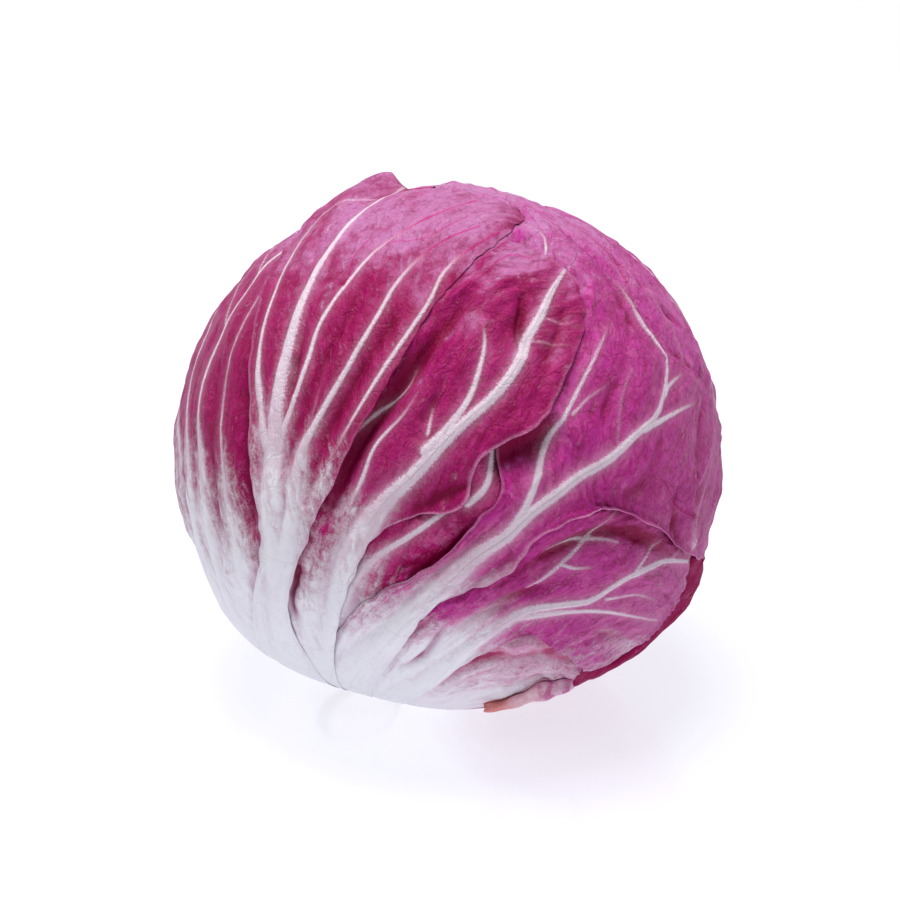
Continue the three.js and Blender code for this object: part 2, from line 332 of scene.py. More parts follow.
def limit_at(directions):
    """The lowest ceiling in the cell of each direction and the cells next to it."""
    cells = cells_of(directions.reshape(-1, 3))
    lowest = np.full(cells.shape[1], np.inf)
    for step in itertools.product((-1, 0, 1), repeat=3):
        lowest = np.minimum(lowest, ceiling[tuple(cells + np.array(step)[:, None])])
    return lowest.reshape(directions.shape[:-1])


print("ceiling:", ceiling.shape[0], "cells a side")

# %% [markdown]
# ## Ribs and folds
# A rib is a raised line that grows thinner towards its tip, where its white gives way to
# the colour of the blade. A thick midrib has a dark line down its middle, its core. A fold
# is a valley, or a ridge if its depth is negative. Both are lines on the sheet, so they can
# be given as a few points each, and the lengths and widths then follow the leaf.


# %% Ribs and folds
RIB_STEPS, FOLD_STEPS = 40, 24  # pieces that a line is cut into
RIB_HEIGHT = 0.5  # share of the half-width
HIGHEST_AT = 2.6  # mm: a rib with a greater half-width isn't higher
SKIRT_SHARE, SKIRT = 1.25, 0.35  # a rib's sides reach this share of its half-width, and mm
LEAST_CELLS = 1.3  # a rib's sides reach at least this many cells, or it would look notched
ROUNDNESS = 1.3  # of a rib from side to side
FOLD_FALL, FOLD_BOTTOM = 1.3, 0.2  # how steeply a fold's sides rise, and how round it is
FOLD_LIFT = 0.25  # makes up for the round bottom, so that a fold is as deep as it says
FAR = 9.0  # mm, where there is no rib


def rib_line(points, widths, white=(1, 1), height=RIB_HEIGHT, core=0):
    """widths are half-widths in mm from foot to tip, and height is a share of them."""
    return {"line": smooth_line(points, RIB_STEPS), "widths": widths, "white": white,
            "height": height, "core": core}


def fold_line(points, width, depth):
    return {"line": smooth_line(points, FOLD_STEPS), "width": width, "depth": depth}


def along_values(values, along):
    return np.interp(along, np.linspace(0, 1, len(values)), values)


def raise_ribs(grid, ribs, cell):
    """Height of the ribs in mm, and what the finish needs to know about them."""
    height = np.zeros(grid.shape[:2])
    edge = np.full_like(height, FAR)
    white = np.zeros_like(height)
    width = np.zeros_like(height)
    core = np.full_like(height, FAR)
    for rib in ribs:
        away, along = nearest(grid, rib["line"])
        half = along_values(rib["widths"], along)
        reach = np.maximum(SKIRT_SHARE * half + SKIRT, LEAST_CELLS * max(cell))
        ridge = np.clip(1 - (away / reach) ** 2, 0, 1) ** ROUNDNESS
        height = np.maximum(height, rib["height"] * np.minimum(half, HIGHEST_AT) * ridge)
        closer = away - half < edge
        edge[closer] = (away - half)[closer]
        white[closer] = along_values(rib["white"], along)[closer]
        width[closer] = half[closer]
        if rib["core"]:
            core = np.minimum(core, away)
    return height, {"rib_edge": edge, "rib_white": white, "rib_width": width, "rib_core": core}


def sink_folds(grid, folds):
    total = np.zeros(grid.shape[:2])
    for fold in folds:
        away, along = nearest(grid, fold["line"])
        ends = np.sin(np.pi * np.clip(along, 0, 1)) ** 0.7
        aside = np.hypot(away / fold["width"], FOLD_BOTTOM)
        total += fold["depth"] * np.exp(FOLD_LIFT - FOLD_FALL * aside) * ends
    return total


trial = sink_folds(strip["grid"], [fold_line([(60, 0), (90, 0)], 4, 1)])
print("a trial fold 1 mm deep sinks the middle by", round(trial[30, 20], 2), "mm")

# %% [markdown]
# ## Making the mesh of a leaf
# A grid primitive already has the rows and columns that a sheet needs, so its points only
# have to be moved to their places. Solidify then gives the sheet its thickness inwards.
# What the finish has to know is kept on the points, as attributes: how far the next rib
# is, how white that rib is, how near the leaf's foot is, and how deep the place is sunk,
# which the finish paints as shade.

# %% Leaf mesh
BLADE = 0.36  # thickness in mm
EDGE_SHARE = 0.15  # of that thickness is left at a margin
THICKNESS_LEVELS = 10


def sheet_object(name, places, uv, attributes, thinness):
    rows, columns = places.shape[0] - 1, places.shape[1] - 1
    work = bmesh.new()
    bmesh.ops.create_grid(work, x_segments=columns, y_segments=rows, size=0.5)
    mesh = bpy.data.meshes.new(name)
    work.to_mesh(mesh)
    work.free()
    corners = np.zeros(len(mesh.vertices) * 3)
    mesh.vertices.foreach_get("co", corners)
    x, y, _ = corners.reshape(-1, 3).T
    column = np.rint((x + 0.5) * columns).astype(int)
    row = np.rint((y + 0.5) * rows).astype(int)
    mesh.vertices.foreach_set("co", (places[row, column] * MM).ravel())
    owners = np.zeros(len(mesh.loops), int)
    mesh.loops.foreach_get("vertex_index", owners)
    layer = mesh.uv_layers.new(name="leaf_mm")
    layer.data.foreach_set("uv", uv[row[owners], column[owners]].ravel())
    for attribute, values in attributes.items():
        kept = mesh.attributes.new(attribute, "FLOAT", "POINT")
        kept.data.foreach_set("value", values[row, column].astype(np.float32))
    mesh.shade_smooth()
    piece = bpy.data.objects.new(name, mesh)
    bpy.context.scene.collection.objects.link(piece)
    thicken(piece, thinness[row, column])
    return piece


def thicken(piece, thinness):
    """A wall inwards, which thins out where thinness goes from 0 to 1."""
    group = piece.vertex_groups.new(name="thick")
    levels = np.rint((1 - thinness) * THICKNESS_LEVELS).astype(int)
    for level in range(1, THICKNESS_LEVELS + 1):
        weight = level / THICKNESS_LEVELS
        group.add(np.flatnonzero(levels == level).tolist(), weight, "REPLACE")
    wall = piece.modifiers.new("leaf thickness", "SOLIDIFY")
    wall.thickness = BLADE * MM
    wall.offset = -1
    wall.use_even_offset = False
    wall.vertex_group = group.name
    wall.thickness_vertex_group = EDGE_SHARE


def upwardness(places):
    """How far the surface faces up: the z of its normal."""
    normals = unit(np.cross(*np.gradient(places, axis=(0, 1))))
    outward = np.sign(np.sum(normals * (places - centre), -1))
    return normals[..., 2] * outward


def keep_flat_spot(directions, radii):
    """Nothing reaches below the table."""
    down = np.minimum(directions[..., 2], -1e-6)
    return np.minimum(radii, CENTRE_HEIGHT / -down)


print("a blade is", BLADE, "mm thick, and", round(BLADE * EDGE_SHARE, 2), "mm at a margin")

# %% [markdown]
# ## Laying one leaf
# The leaf starts on the round shape or just under its ceiling, evened out so that it bends
# softly over the edges of the leaves above. Ribs, folds, fine wrinkles along the leaf and
# curled margins are added to that, and the ceiling has the last word. Near the stem all
# leaves merge, so their relief and thickness fade out there.

# %% Lay a leaf
FREE = (30, 60)  # degrees from the stem: held before, and free after
MERGED = (25, 62)  # degrees from the stem: one white foot before, and a thin blade after
RIBS_RISE = (22, 62)  # degrees from the stem over which a rib rises to its height
SOFTENED = 1.8  # mm over which a leaf bends round what is above it
BETWEEN_RIBS = 5  # mm from a rib to where the blade swells
SWELLING = 0.35  # mm
# Height in mm, wavelength in mm and what the seed is moved by. The first runs along the leaf.
WRINKLES = ((0.20, 3.4, 11), (0.09, 4.5, 12), (0.40, 17, 13))
CURL_BAND = 4.5  # mm of a margin that curls
CURL_WAVE = 18  # mm from one wave of a curled margin to the next
THIN_BAND = 2.2  # mm of a margin over which the blade thins out
LEAST_SHEEN_AT = (95, -16)  # where the painted sheen towards the outline is least
SHEEN_COMES_IN = (38, 80)  # degrees from there over which that painted sheen comes in
HOLLOW_REACHES = (2.5, 7)  # mm: how deep a place is sunk, compared with what is this near, for painted shade
UPWARD_REACH = 0.7  # mm over which the way a place faces is evened out, for the painted sheen
COVER_SHADE = 0.6  # painted shade under a covering leaf, counted as so many mm sunk
SHADE_ENDS = (0.4, 0.75)  # high on the head there is no such shade: sines of the latitude
WHITE_BESIDE_RIB = 0.45  # how much further the white of the foot climbs beside a rib
RIB_REACH = 2.5  # mm beside a rib that it climbs in
CLIMB = (-6, 16)  # degrees past the end of the foot's white over which that stops
RIM_STARTS = (50, 80)  # degrees from the stem over which a pink rim begins to show
pieces = {}


def raise_margins(sheet, curl, free):
    """Height of the curled margins in mm, and how much of a margin's rim shows."""
    across, along = sheet["across"], sheet["along"]
    from_margins = (across, across[:, -1:] - across, along[-1:] - along)
    shares = (along / along[-1:], along / along[-1:], across / across[:, -1:])
    wave = 0.85 + 0.2 * ripples(sheet["grid"] * HEAD_RADIUS, CURL_WAVE, sheet["seed"] + 14)
    heights, rim = [], np.zeros_like(wave)
    for from_margin, share, lifted in zip(from_margins, shares, curl):
        lifted = along_values(np.atleast_1d(lifted), share)
        heights.append(lifted * wave * np.clip(1 - from_margin / CURL_BAND, 0, 1) ** 2 * free)
        showing = np.minimum(lifted * 1.6, 1) * (1 - smoothstep(from_margin, 0.3, 1.0))
        rim = np.maximum(rim, showing)
    return heights, rim, np.minimum.reduce(from_margins)


def lay_leaf(name, left, rib, right, cells, ribs, folds=(), curl=(0, 0, 0), foot=(54, 78),
             ragged=0.2, seed=1, wrinkle=1.0, slot="leaf", lift=None, sink=0.0, bloom=0.0,
             paces=(1, 1, 1)):
    """Model one leaf and lay it under the others.

    left, rib and right are its three lines. ribs is a list of points, half-widths, whites,
    height and core, as rib_line takes them, or a function that draws them on the sheet;
    folds is a list of points, width and depth. curl lifts the left, right and upper margins
    by so many mm, and foot is where its white ends, in degrees from the stem. bloom goes
    from 0, crimson, to 1, violet."""
    sheet = sheet_between(left, rib, right, *cells, ragged, seed, paces)
    grid, across, along, cell = (sheet[key] for key in ("grid", "across", "along", "cell"))
    ribs = ribs(sheet) if callable(ribs) else [rib_line(*drawn) for drawn in ribs]
    folds = [fold_line(*drawn) for drawn in folds]
    height, attributes = raise_ribs(grid, ribs, cell)
    edge = attributes["rib_edge"]
    away_from_stem = np.degrees(np.arccos(np.clip(grid @ stem, -1, 1)))
    free = smoothstep(away_from_stem, *FREE)

    limit = limit_at(grid) - GAP * (0.4 + 0.6 * free)
    base = np.minimum(round_radius(grid) - sink, limit)
    for _ in range(4):
        base = np.minimum(limit, evened(base, SOFTENED, cell))

    between_ribs = smoothstep(edge, 0, BETWEEN_RIBS)
    along_leaf = np.stack([across, along * 0.2], -1)
    fields = (along_leaf, grid * HEAD_RADIUS, grid * HEAD_RADIUS)
    wrinkles = sum(
        high * ripples(field, wavelength, seed + moved) * free
        for field, (high, wavelength, moved) in zip(fields, WRINKLES)
    )
    relief = height * smoothstep(away_from_stem, *RIBS_RISE) + SWELLING * between_ribs * free
    relief += wrinkle * wrinkles * (0.3 + 0.7 * between_ribs) - sink_folds(grid, folds)
    heights, rim, from_margin = raise_margins(sheet, curl, free)
    for raised in heights:
        relief += raised
    if lift is not None:
        relief += lift(sheet)
    thinness = 1 - smoothstep(from_margin, 0, THIN_BAND)
    merged = 1 - smoothstep(away_from_stem, *MERGED)
    relief -= BLADE * (1 - EDGE_SHARE) * thinness * (1 - merged)
    thinness = np.maximum(thinness, merged)

    radii = keep_flat_spot(grid, np.minimum(base + relief, limit))
    lower_ceiling(grid, radii - BLADE * (1 - (1 - EDGE_SHARE) * thinness), cell)
    places = centre + grid * radii[..., None]
    # Painted shade: hollow is how far a place is sunk below what is near it, plus a painted shade
    # just under the margin of a covering leaf. The finish darkens the blade by it.
    near, wide = (evened(radii, reach, cell) for reach in HOLLOW_REACHES)
    hollow = 0.6 * (near + wide) - 1.2 * radii
    covered = evened((limit < HEAD_RADIUS + 5).astype(float), SOFTENED, cell)
    shade = COVER_SHADE * smoothstep(covered, 0.05, 0.5) * free
    hollow += shade * (1 - smoothstep(grid[..., 2], *SHADE_ENDS))
    whitening = (foot[1] - away_from_stem) / (foot[1] - foot[0])
    near_rib = np.exp(-np.clip(edge, 0, None) / RIB_REACH)
    climb = 1 - smoothstep(away_from_stem, foot[1] + CLIMB[0], foot[1] + CLIMB[1])
    whitening += WHITE_BESIDE_RIB * near_rib * climb
    attributes |= {
        "foot": np.clip(whitening, 0, 1.3),
        "hollow": hollow,
        "upward": evened(upwardness(places), UPWARD_REACH, cell),
        "bloom": np.full_like(hollow, bloom),
        # Painted sheen that grows towards the outline of the head, away from the middle of its
        # front.
        "outline_sheen": smoothstep(angle_from(grid, LEAST_SHEEN_AT), *SHEEN_COMES_IN),
        "rim": rim * smoothstep(away_from_stem, *RIM_STARTS),
    }
    uv = np.stack([across, along], -1)
    piece = sheet_object(name + "_blade", places, uv, attributes, thinness)
    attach(piece, "root")
    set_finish(piece, slot)
    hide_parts(name)
    pieces[name] = piece
    size = np.array([along[-1, 0], across[:, -1].max()]).round()
    print(f"{name}: {size[0]:.0f} x {size[1]:.0f} mm, {len(ribs)} ribs")
    return piece


# %% [markdown]
# ## The front left leaf
# The biggest outer leaf in front. Its midrib stands thick and white beside its left margin
# and sends four long branches to the right. Between them the blade sinks in long valleys.
# The tip is torn off square to the left of the midrib, and what is left stands up.


# %% Front left leaf
TIP_LIFT = 4.2  # mm that the torn tip stands up
TIP_FROM = (0.84, 1)  # shares of the leaf's length over which it rises
TIP_SIDE = (0.16, 0.30)  # shares of the leaf's width over which it comes down again


def torn_tip(sheet):
    u = sheet["along"] / sheet["along"][-1:]
    v = sheet["across"] / sheet["across"][:, -1:]
    return TIP_LIFT * smoothstep(u, *TIP_FROM) * (1 - smoothstep(v, *TIP_SIDE))


lay_leaf(
    "front_left_leaf",
    left=[(10, -78), (32, -54), (50, -44), (66, -40), (77, -45), (90, -52), (103, -61),
          (117, -73), (132, -95), (143, -101)],
    rib=[(10, -44), (40, -35), (62, -35), (78, -40), (95, -45), (116, -54), (138, -69),
         (151, -85)],
    right=[(10, -12), (32, -26), (50, -31), (68, -29), (84, -26), (104, -24), (125, -22),
           (140, -19), (152, -14), (162, -12)],
    ribs=[
        ([(12, -44), (39, -35), (62, -35), (75, -39), (86, -42), (94, -45), (105, -49),
          (116, -54), (127, -60), (138, -69), (150, -86)],
         (4.5, 4.2, 3.2, 2.2, 1.55, 1.1, 0.75, 0.42, 0.22), (1, 1, 1, 1, 1, 1, 1, 0.9, 0.6)),
        ([(84, -43), (90, -48), (97, -53), (111, -62), (122, -71), (131, -84), (143, -79)],
         (1.0, 0.7, 0.45, 0.32, 0.26, 0.22, 0.2, 0.16), (1, 1, 0.9, 0.8, 0.7, 0.6, 0.5)),
        ([(74, -38), (88, -41), (93, -41), (102, -42), (109, -44), (119, -45), (131, -46),
          (144, -45), (158, -43)], (2.0, 0.9, 0.58, 0.44, 0.36, 0.3, 0.28, 0.26, 0.22),
         (1, 1, 1, 1, 0.95, 0.7, 0.3, 0, 0)),
        ([(62, -34), (73, -33), (85, -35), (94, -34), (104, -33), (116, -33), (128, -34),
          (139, -32), (148, -26)], (2.4, 1.3, 0.9, 0.62, 0.46, 0.36, 0.32, 0.28, 0.22),
         (1, 1, 1, 1, 1, 0.9, 0.6, 0.1, 0)),
        ([(80, -29), (89, -28), (105, -26), (113, -25), (124, -24), (132, -25), (142, -22),
          (149, -18)], (0.15, 0.18, 0.26, 0.36, 0.36, 0.32, 0.3, 0.28, 0.22),
         (0.2, 0.3, 0.7, 1, 1, 0.9, 0.6, 0.1, 0)),
        ([(90, -35), (96, -36), (104, -38)], (0.2, 0.25, 0.15), (0.4, 0.1)),
        ([(133, -46), (138, -38), (150, -34)], (0.18, 0.12), (0, 0)),
        ([(119, -45), (127, -50), (133, -52)], (0.15, 0.12), (0, 0)),
    ],
    folds=[
        ([(78, -39), (95, -43), (110, -48), (120, -50)], 2.0, 1.2),
        ([(80, -37), (95, -38), (110, -39), (124, -41)], 2.4, 1.7),
        ([(76, -31), (90, -31), (105, -30), (118, -29), (130, -29)], 2.4, 2.0),
        ([(84, -47), (98, -51)], 2.0, 0.9),
        ([(103, -46), (99, -44), (95, -43)], 1.2, 1.0),
    ],
    cells=(250, 135),
    curl=((0.3, 0.3, 0.4, 0.4, 0, 0), (0.3, 0.5, 0.7, 0.5, 0.1, -0.3, -0.4, -0.4), -0.3),
    foot=(48, 90), lift=torn_tip, seed=20,
)

# %% [markdown]
# ## The centre leaf
# Its midrib runs up to the right and ends at the leaf's pointed tip. The blade left of it
# is pinched into a little tent, with a deep hollow under it, and the blade right of it is
# folded over, so that its margin lies on the next leaf.

# %% Centre leaf
lay_leaf(
    "centre_leaf",
    left=[(10, -44), (40, -34), (62, -38), (85, -38), (110, -38), (132, -38), (149, -22)],
    rib=[(10, -26), (48, -19), (70, -19), (85, -15), (96, -9), (111, -2), (125, 1), (144, 9)],
    right=[(10, -8), (40, -17), (58, -17), (70, -16), (78, -14), (83, -9), (88, -1), (97, -1),
           (103, 3), (109, 9), (120, 12), (133, 16), (142, 13)],
    ribs=[
        ([(12, -25), (49, -17), (70, -18), (84, -15), (90, -12), (95, -10), (102, -7),
          (111, -2), (120, 1), (124, 1), (130, 3), (137, 5), (144, 9)],
         (5, 5, 4.2, 3.2, 2.5, 2.0, 1.5, 1.15, 0.95, 1.0, 0.8, 0.2), (1, 1), 0.5, 1),
        ([(96, -11), (101, -9), (108, -7), (114, -7), (120, -8), (125, -11), (130, -17)],
         (1.2, 0.75, 0.6, 0.5, 0.42, 0.3, 0.22, 0.2, 0.15), (1, 1, 1, 1, 1, 0.9, 0.3, 0.1, 0)),
        ([(92, -27), (99, -24), (106, -20), (111, -20)], (0.15, 0.25, 0.3, 0.22, 0.15),
         (0.2, 0.7, 0.6, 0.3)),
        ([(78, -22), (86, -21), (93, -21), (101, -18), (107, -17)],
         (0.3, 0.42, 0.34, 0.26, 0.15), (0.2, 0.8, 0.8, 0.5, 0.2)),
        ([(99, -12), (104, -13)], (0.3, 0.15), (0.9, 0.4)),
        ([(130, 4), (131, 14)], (0.2, 0.2), (0.5, 0.2)),
        ([(127, 3), (129, 14)], (0.2, 0.15), (0.3, 0)),
        ([(124, 2), (126, 13)], (0.2, 0.2), (0.5, 0.2)),
        ([(130, -17), (137, -14), (143, -10), (144, -3)], (0.2, 0.15), (0, 0)),
        ([(130, -17), (141, -17), (147, -14)], (0.2, 0.15), (0, 0)),
        ([(130, -17), (127, -22), (121, -24)], (0.2, 0.15), (0, 0)),
    ],
    folds=[
        ([(129, -15), (120, -18), (111, -20), (103, -22), (94, -24), (86, -25), (74, -25)], 3.0,
         4.4),
        ([(134, -16), (128, -19), (123, -23)], 1.5, -1.2),
        ([(126, -9), (120, -10), (112, -11)], 2.4, -0.8),
        ([(136, -4), (130, -2), (125, -1), (120, 2)], 1.5, 2.6),
        ([(105, 5), (99, 3), (93, -1), (88, -6), (82, -11)], 2.2, 1.8),
        ([(139, 10), (130, 9), (122, 7), (114, 4)], 2.2, 1.4),
        ([(88, 1), (94, 3), (104, 6), (112, 8)], 0.9, -0.6),
        ([(112, -10), (106, -12), (100, -14)], 2.0, 1.0),
        ([(66, -29), (59, -30), (54, -31), (48, -30)], 1.1, 1.5),
        ([(132, -8), (138, -12), (142, -20)], 3.0, -0.7),
        ([(96, -14), (104, -14), (112, -12)], 1.6, 0.9),
        ([(128, -20), (136, -18.5), (146, -15.5), (156, -11.5)], 1.6, -0.7),
    ],
    cells=(240, 150), curl=(0, (0, 0, 0, 0.2, 0.6, 1.0, 0.4, 0.1, 0), (0, 0, 0.3, 0.5)),
    foot=(44, 84), bloom=0.08, seed=31,
)

# %% [markdown]
# ## The right leaf
# The midrib climbs to the right and curls over near its end. The lower margin arches up
# over the leaf below, and the far corner is pinched against that leaf's tip. The margins
# are much longer than the midrib here, so this leaf needs paces of its own.

# %% Right leaf
lay_leaf(
    "right_leaf",
    left=[(10, -24), (38, -20), (52, -17), (63, -12), (71, -5), (77, -1), (82, 1), (88, 3),
          (93, 5), (98, 3), (106, 0), (120, 0), (135, 2), (150, 2), (159, 9)],
    rib=[(10, -4), (40, -8), (56, -4), (67, 0), (76, 4), (90, 12), (105, 25), (118, 38),
         (131, 45)],
    right=[(10, 16), (40, -2), (56, 0), (68, 2), (77, 12), (88, 16), (96, 28), (95, 42),
           (90, 58), (90, 76), (104, 84), (118, 80)],
    ribs=[
        ([(12, -5), (33, -10), (56, -4), (67, 0), (75, 3), (81, 6), (85, 9), (91, 12),
          (96, 16), (101, 20), (105, 25), (108, 28), (112, 32), (115, 36), (118, 39),
          (122, 41), (125, 43), (130, 45)],
         (5, 5, 4.8, 3.9, 3.0, 2.3, 1.8, 1.4, 1.15, 1.0, 0.9, 0.7, 0.45, 0.3),
         (1, 1, 1, 1, 1, 0.8), 0.5, 1),
        ([(56, 1), (66, 6), (73, 10), (79, 13), (85, 15)], (2.4, 2.4, 1.8, 1.2, 0.5),
         (1, 0.8, 0.5, 0.2), 0.12),
        ([(87, 10), (93, 11), (106, 12), (116, 15), (127, 20), (137, 26)],
         (1.2, 0.75, 0.58, 0.46, 0.38, 0.3, 0.25, 0.2, 0.15),
         (1, 1, 1, 1, 1, 1, 0.9, 0.4, 0.1)),
        ([(113, 34), (115, 38), (119, 48), (121, 58)], (0.7, 0.35, 0.2), (1, 0.8, 0.2)),
        ([(121, 41), (123, 43), (127, 52)], (0.5, 0.3, 0.2), (1, 0.7, 0.2)),
        ([(109, 27), (117, 27), (121, 28), (125, 30)], (0.25, 0.2, 0.15), (0.4, 0.4)),
        ([(112, 15), (116, 18), (120, 23)], (0.25, 0.15), (0.7, 0.3)),
        ([(97, 40), (107, 43), (113, 47), (122, 59)], (0.2, 0.15), (0.2, 0)),
        ([(86, 31), (100, 36), (106, 40)], (0.2, 0.15), (0.1, 0.1)),
        ([(104, 42), (99, 50), (97, 62)], (0.2, 0.15), (0, 0)),
        ([(130, 44), (136, 38), (143, 35), (150, 30), (157, 22), (156, 7)],
         (0.4, 0.55, 0.5, 0.4, 0.25), (0.9, 0.45, 0.2, 0), 0.9),
        ([(121, 23), (131, 27), (140, 27)], (0.15, 0.12), (0.1, 0)),
        ([(91, 60), (97, 59), (102, 61), (110, 66)], (0.4, 0.25, 0.15), (0.6, 0.2)),
        ([(91, 60), (97, 55), (103, 54), (112, 58)], (0.4, 0.25, 0.15), (0.5, 0.1)),
    ],
    folds=[
        ([(93, 24), (99, 31), (104, 40)], 4.5, 1.2),
        ([(97, 2), (101, 5), (105, 9), (110, 13)], 5.4, 5.2),
        ([(104, 17), (100, 13), (96, 10), (90, 7)], 1.6, -0.8),
        ([(117, 5), (118, 11)], 2.4, 1.8),
        ([(116, 5), (121, 10), (122, 13)], 0.9, 0.9),
        ([(110, 55), (102, 53), (96, 56), (89, 64)], 1.8, -1.8),
        ([(104, 48), (97, 49), (91, 55)], 2.2, 1.5),
        ([(110, 22), (118, 24), (126, 28)], 3.0, 0.8),
        ([(128, 40), (136, 34), (144, 30), (150, 24)], 2.6, 1.2),
        ([(90, 8), (82, 4), (73, -1), (64, -5)], 1.6, 1.2),
        ([(96, 46), (101, 50), (108, 52)], 2.2, -1.0),
        ([(100, 58), (108, 56), (116, 58)], 2.4, 0.9),
        ([(72, 6), (78, 10), (84, 13)], 1.2, 1.0),
    ],
    cells=(225, 160),
    curl=((0, 0, 0, 0, 0.3, 0.3, 0.1, 0), (0, 0, 0.1, 0.3, 1.0, 1.9, 0.9, 0), 0), foot=(44, 79),
    bloom=0.45, seed=42, paces=(1.1, 0.85, 1.25),
)

# %% [markdown]
# ## The underside leaf
# The head lies on this one, so the table hides most of it and a coarse grid will do. It
# lies over the lower right leaf's foot, so it is laid first.

# %% Underside leaf
lay_leaf(
    "underside_leaf",
    left=[(10, 70), (28, 72), (50, 84), (75, 92), (100, 96), (116, 104)],
    rib=[(10, 112), (45, 116), (80, 120), (108, 122), (125, 124)],
    right=[(10, 154), (28, 158), (50, 155), (80, 152), (105, 148), (120, 140)],
    ribs=[
        ([(12, 112), (45, 116), (80, 120), (108, 122), (122, 123)], (6, 5, 3.5, 2, 1, 0.5),
         (1, 1, 1, 0.6), 0.5, 1),
    ],
    cells=(60, 44), curl=(0.4, 0.4, 0.4), foot=(14, 44), seed=53,
)

# %% [markdown]
# ## The lower right leaf
# It comes out from under the arch of the right leaf and turns up to a tip at the far
# right. Its ribs fan out low on the blade.

# %% Lower right leaf
lay_leaf(
    "lower_right_leaf",
    left=[(10, -12), (40, -8), (60, -2), (76, 7), (92, 18), (103, 34), (106, 48), (98, 61)],
    rib=[(10, 18), (40, 12), (56, 13), (67, 17), (77, 31), (85, 44), (88, 55), (88, 63)],
    right=[(10, 42), (38, 14), (54, 16), (66, 24), (64, 33), (61, 44), (58, 55), (61, 64),
           (68, 69), (78, 70)],
    ribs=[
        ([(12, 17), (40, 12), (56, 13), (67, 17), (72, 21), (75, 28), (77, 34), (81, 38),
          (84, 41), (86, 45), (88, 53), (88, 62)],
         (4.5, 4.5, 4.0, 3.1, 2.0, 1.3, 1.0, 0.82, 0.7, 0.6, 0.45, 0.3), (1, 1), 0.5, 1),
        ([(54, 7), (64, 11), (71, 15), (77, 20)], (2.0, 1.6, 1.0, 0.4), (1, 0.8, 0.4, 0.1),
         0.12),
        ([(75, 18), (78, 20), (83, 23), (86, 25), (89, 27), (96, 32)],
         (0.15, 0.3, 0.28, 0.22, 0.12), (0.6, 0.9, 0.7, 0.4)),
        ([(83, 23), (83, 26), (84, 30)], (0.3, 0.25, 0.15), (0.9, 0.4)),
        ([(85, 19), (88, 24), (89, 27), (90, 32), (90, 35)], (0.1, 0.2, 0.24, 0.2, 0.12),
         (0.5, 0.9, 0.6)),
        ([(70, 20), (73, 28), (75, 38), (75, 46), (74, 64)], (0.9, 0.5, 0.34, 0.22, 0.15),
         (1, 1, 0.8, 0.5)),
        ([(84, 41), (88, 44), (92, 48)], (0.4, 0.25, 0.15), (0.9, 0.4)),
        ([(78, 38), (80, 46), (79, 56)], (0.3, 0.2, 0.15), (0.8, 0.3)),
        ([(71, 44), (68, 55), (66, 66)], (0.2, 0.15), (0.3, 0.1)),
        ([(87, 52), (92, 58), (94, 66)], (0.25, 0.2, 0.15), (0.5, 0.2)),
    ],
    folds=[
        ([(70, 6), (75, 13), (83, 19), (90, 27), (92, 35), (91, 43), (88, 54)], 2.8, 2.6),
        ([(70, 12), (74, 17), (79, 24)], 1.6, 1.4),
        ([(62, 8), (68, 12), (73, 19)], 1.5, 1.2),
        ([(63, 6), (60, 6), (56, 6), (51, 5), (46, 1)], 1.0, 1.7),
        ([(70, 36), (69, 50), (67, 62)], 3.0, 0.8),
        ([(86, 36), (84, 47), (84, 60)], 3.0, -0.8),
    ],
    cells=(200, 110), curl=(0.2, (0, 0, 0.2, 0.3, 0.3, 0.3, 0.3, 0.4), (0.2, 0.3, 0.4)),
    foot=(44, 70), bloom=0.5, seed=54,
)

# %% [markdown]
# ## The withered leaf
# The oldest leaf is small, pale and limp. Its free edge was broken when the head was
# trimmed: it is rolled up and hangs clear of the head.

# %% Withered leaf
lay_leaf(
    "withered_leaf",
    left=[(10, 12), (36, 8), (50, 13), (58, 17), (65, 23), (68, 34), (65, 48)],
    rib=[(10, 36), (30, 26), (43, 30), (53, 38), (59, 48)],
    right=[(10, 60), (26, 44), (36, 44), (46, 50), (52, 54)],
    ribs=[([(12, 34), (30, 26), (43, 30), (53, 38)], (2.5, 2, 1.2, 0.6), (1, 0.8))],
    folds=[
        ([(46, 15), (53, 17), (58, 22), (61, 29), (63, 36)], 1.4, 1.8),
        ([(44, 17), (51, 20), (56, 26), (59, 34)], 1.2, -0.9),
        ([(48, 33), (53, 37), (57, 41), (60, 46)], 1.6, 2.6),
        ([(42, 34), (49, 38), (54, 43)], 1.4, -1.2),
    ],
    cells=(120, 66), curl=(0.2, 0.5, 0.8), foot=(26, 84), wrinkle=2.2, ragged=0.5,
    slot="withered_leaf", seed=65,
)

# %% [markdown]
# The torn edge of that leaf has rolled itself up. The roll is the same kind of sheet: its
# rows run along the roll, and its columns go round in a spiral that ends at the core.

# %% Rolled edge
ROLL_CELLS = (70, 60)  # along the roll, and round it
ROLL_LINE = [(56, 49), (54, 45), (52, 41), (49, 39), (45, 37), (42, 34)]
ROLL_RADII = (1.5, 2.1, 2.3, 1.9, 1.6, 1.5, 1.2)  # mm, from one end to the other
ROLL_TURNS = 1.4
ROLL_STEP = 0.62  # mm between one turn and the next
ROLL_STANDS_OFF = 2.2  # mm from the round shape to the middle of the roll
ROLL_TWIST = (2.2, 1.2)  # where the spiral starts, and how far it twists, in radians
LUMPS = 0.10  # share of the radius
TABLE_GAP = 0.3  # mm

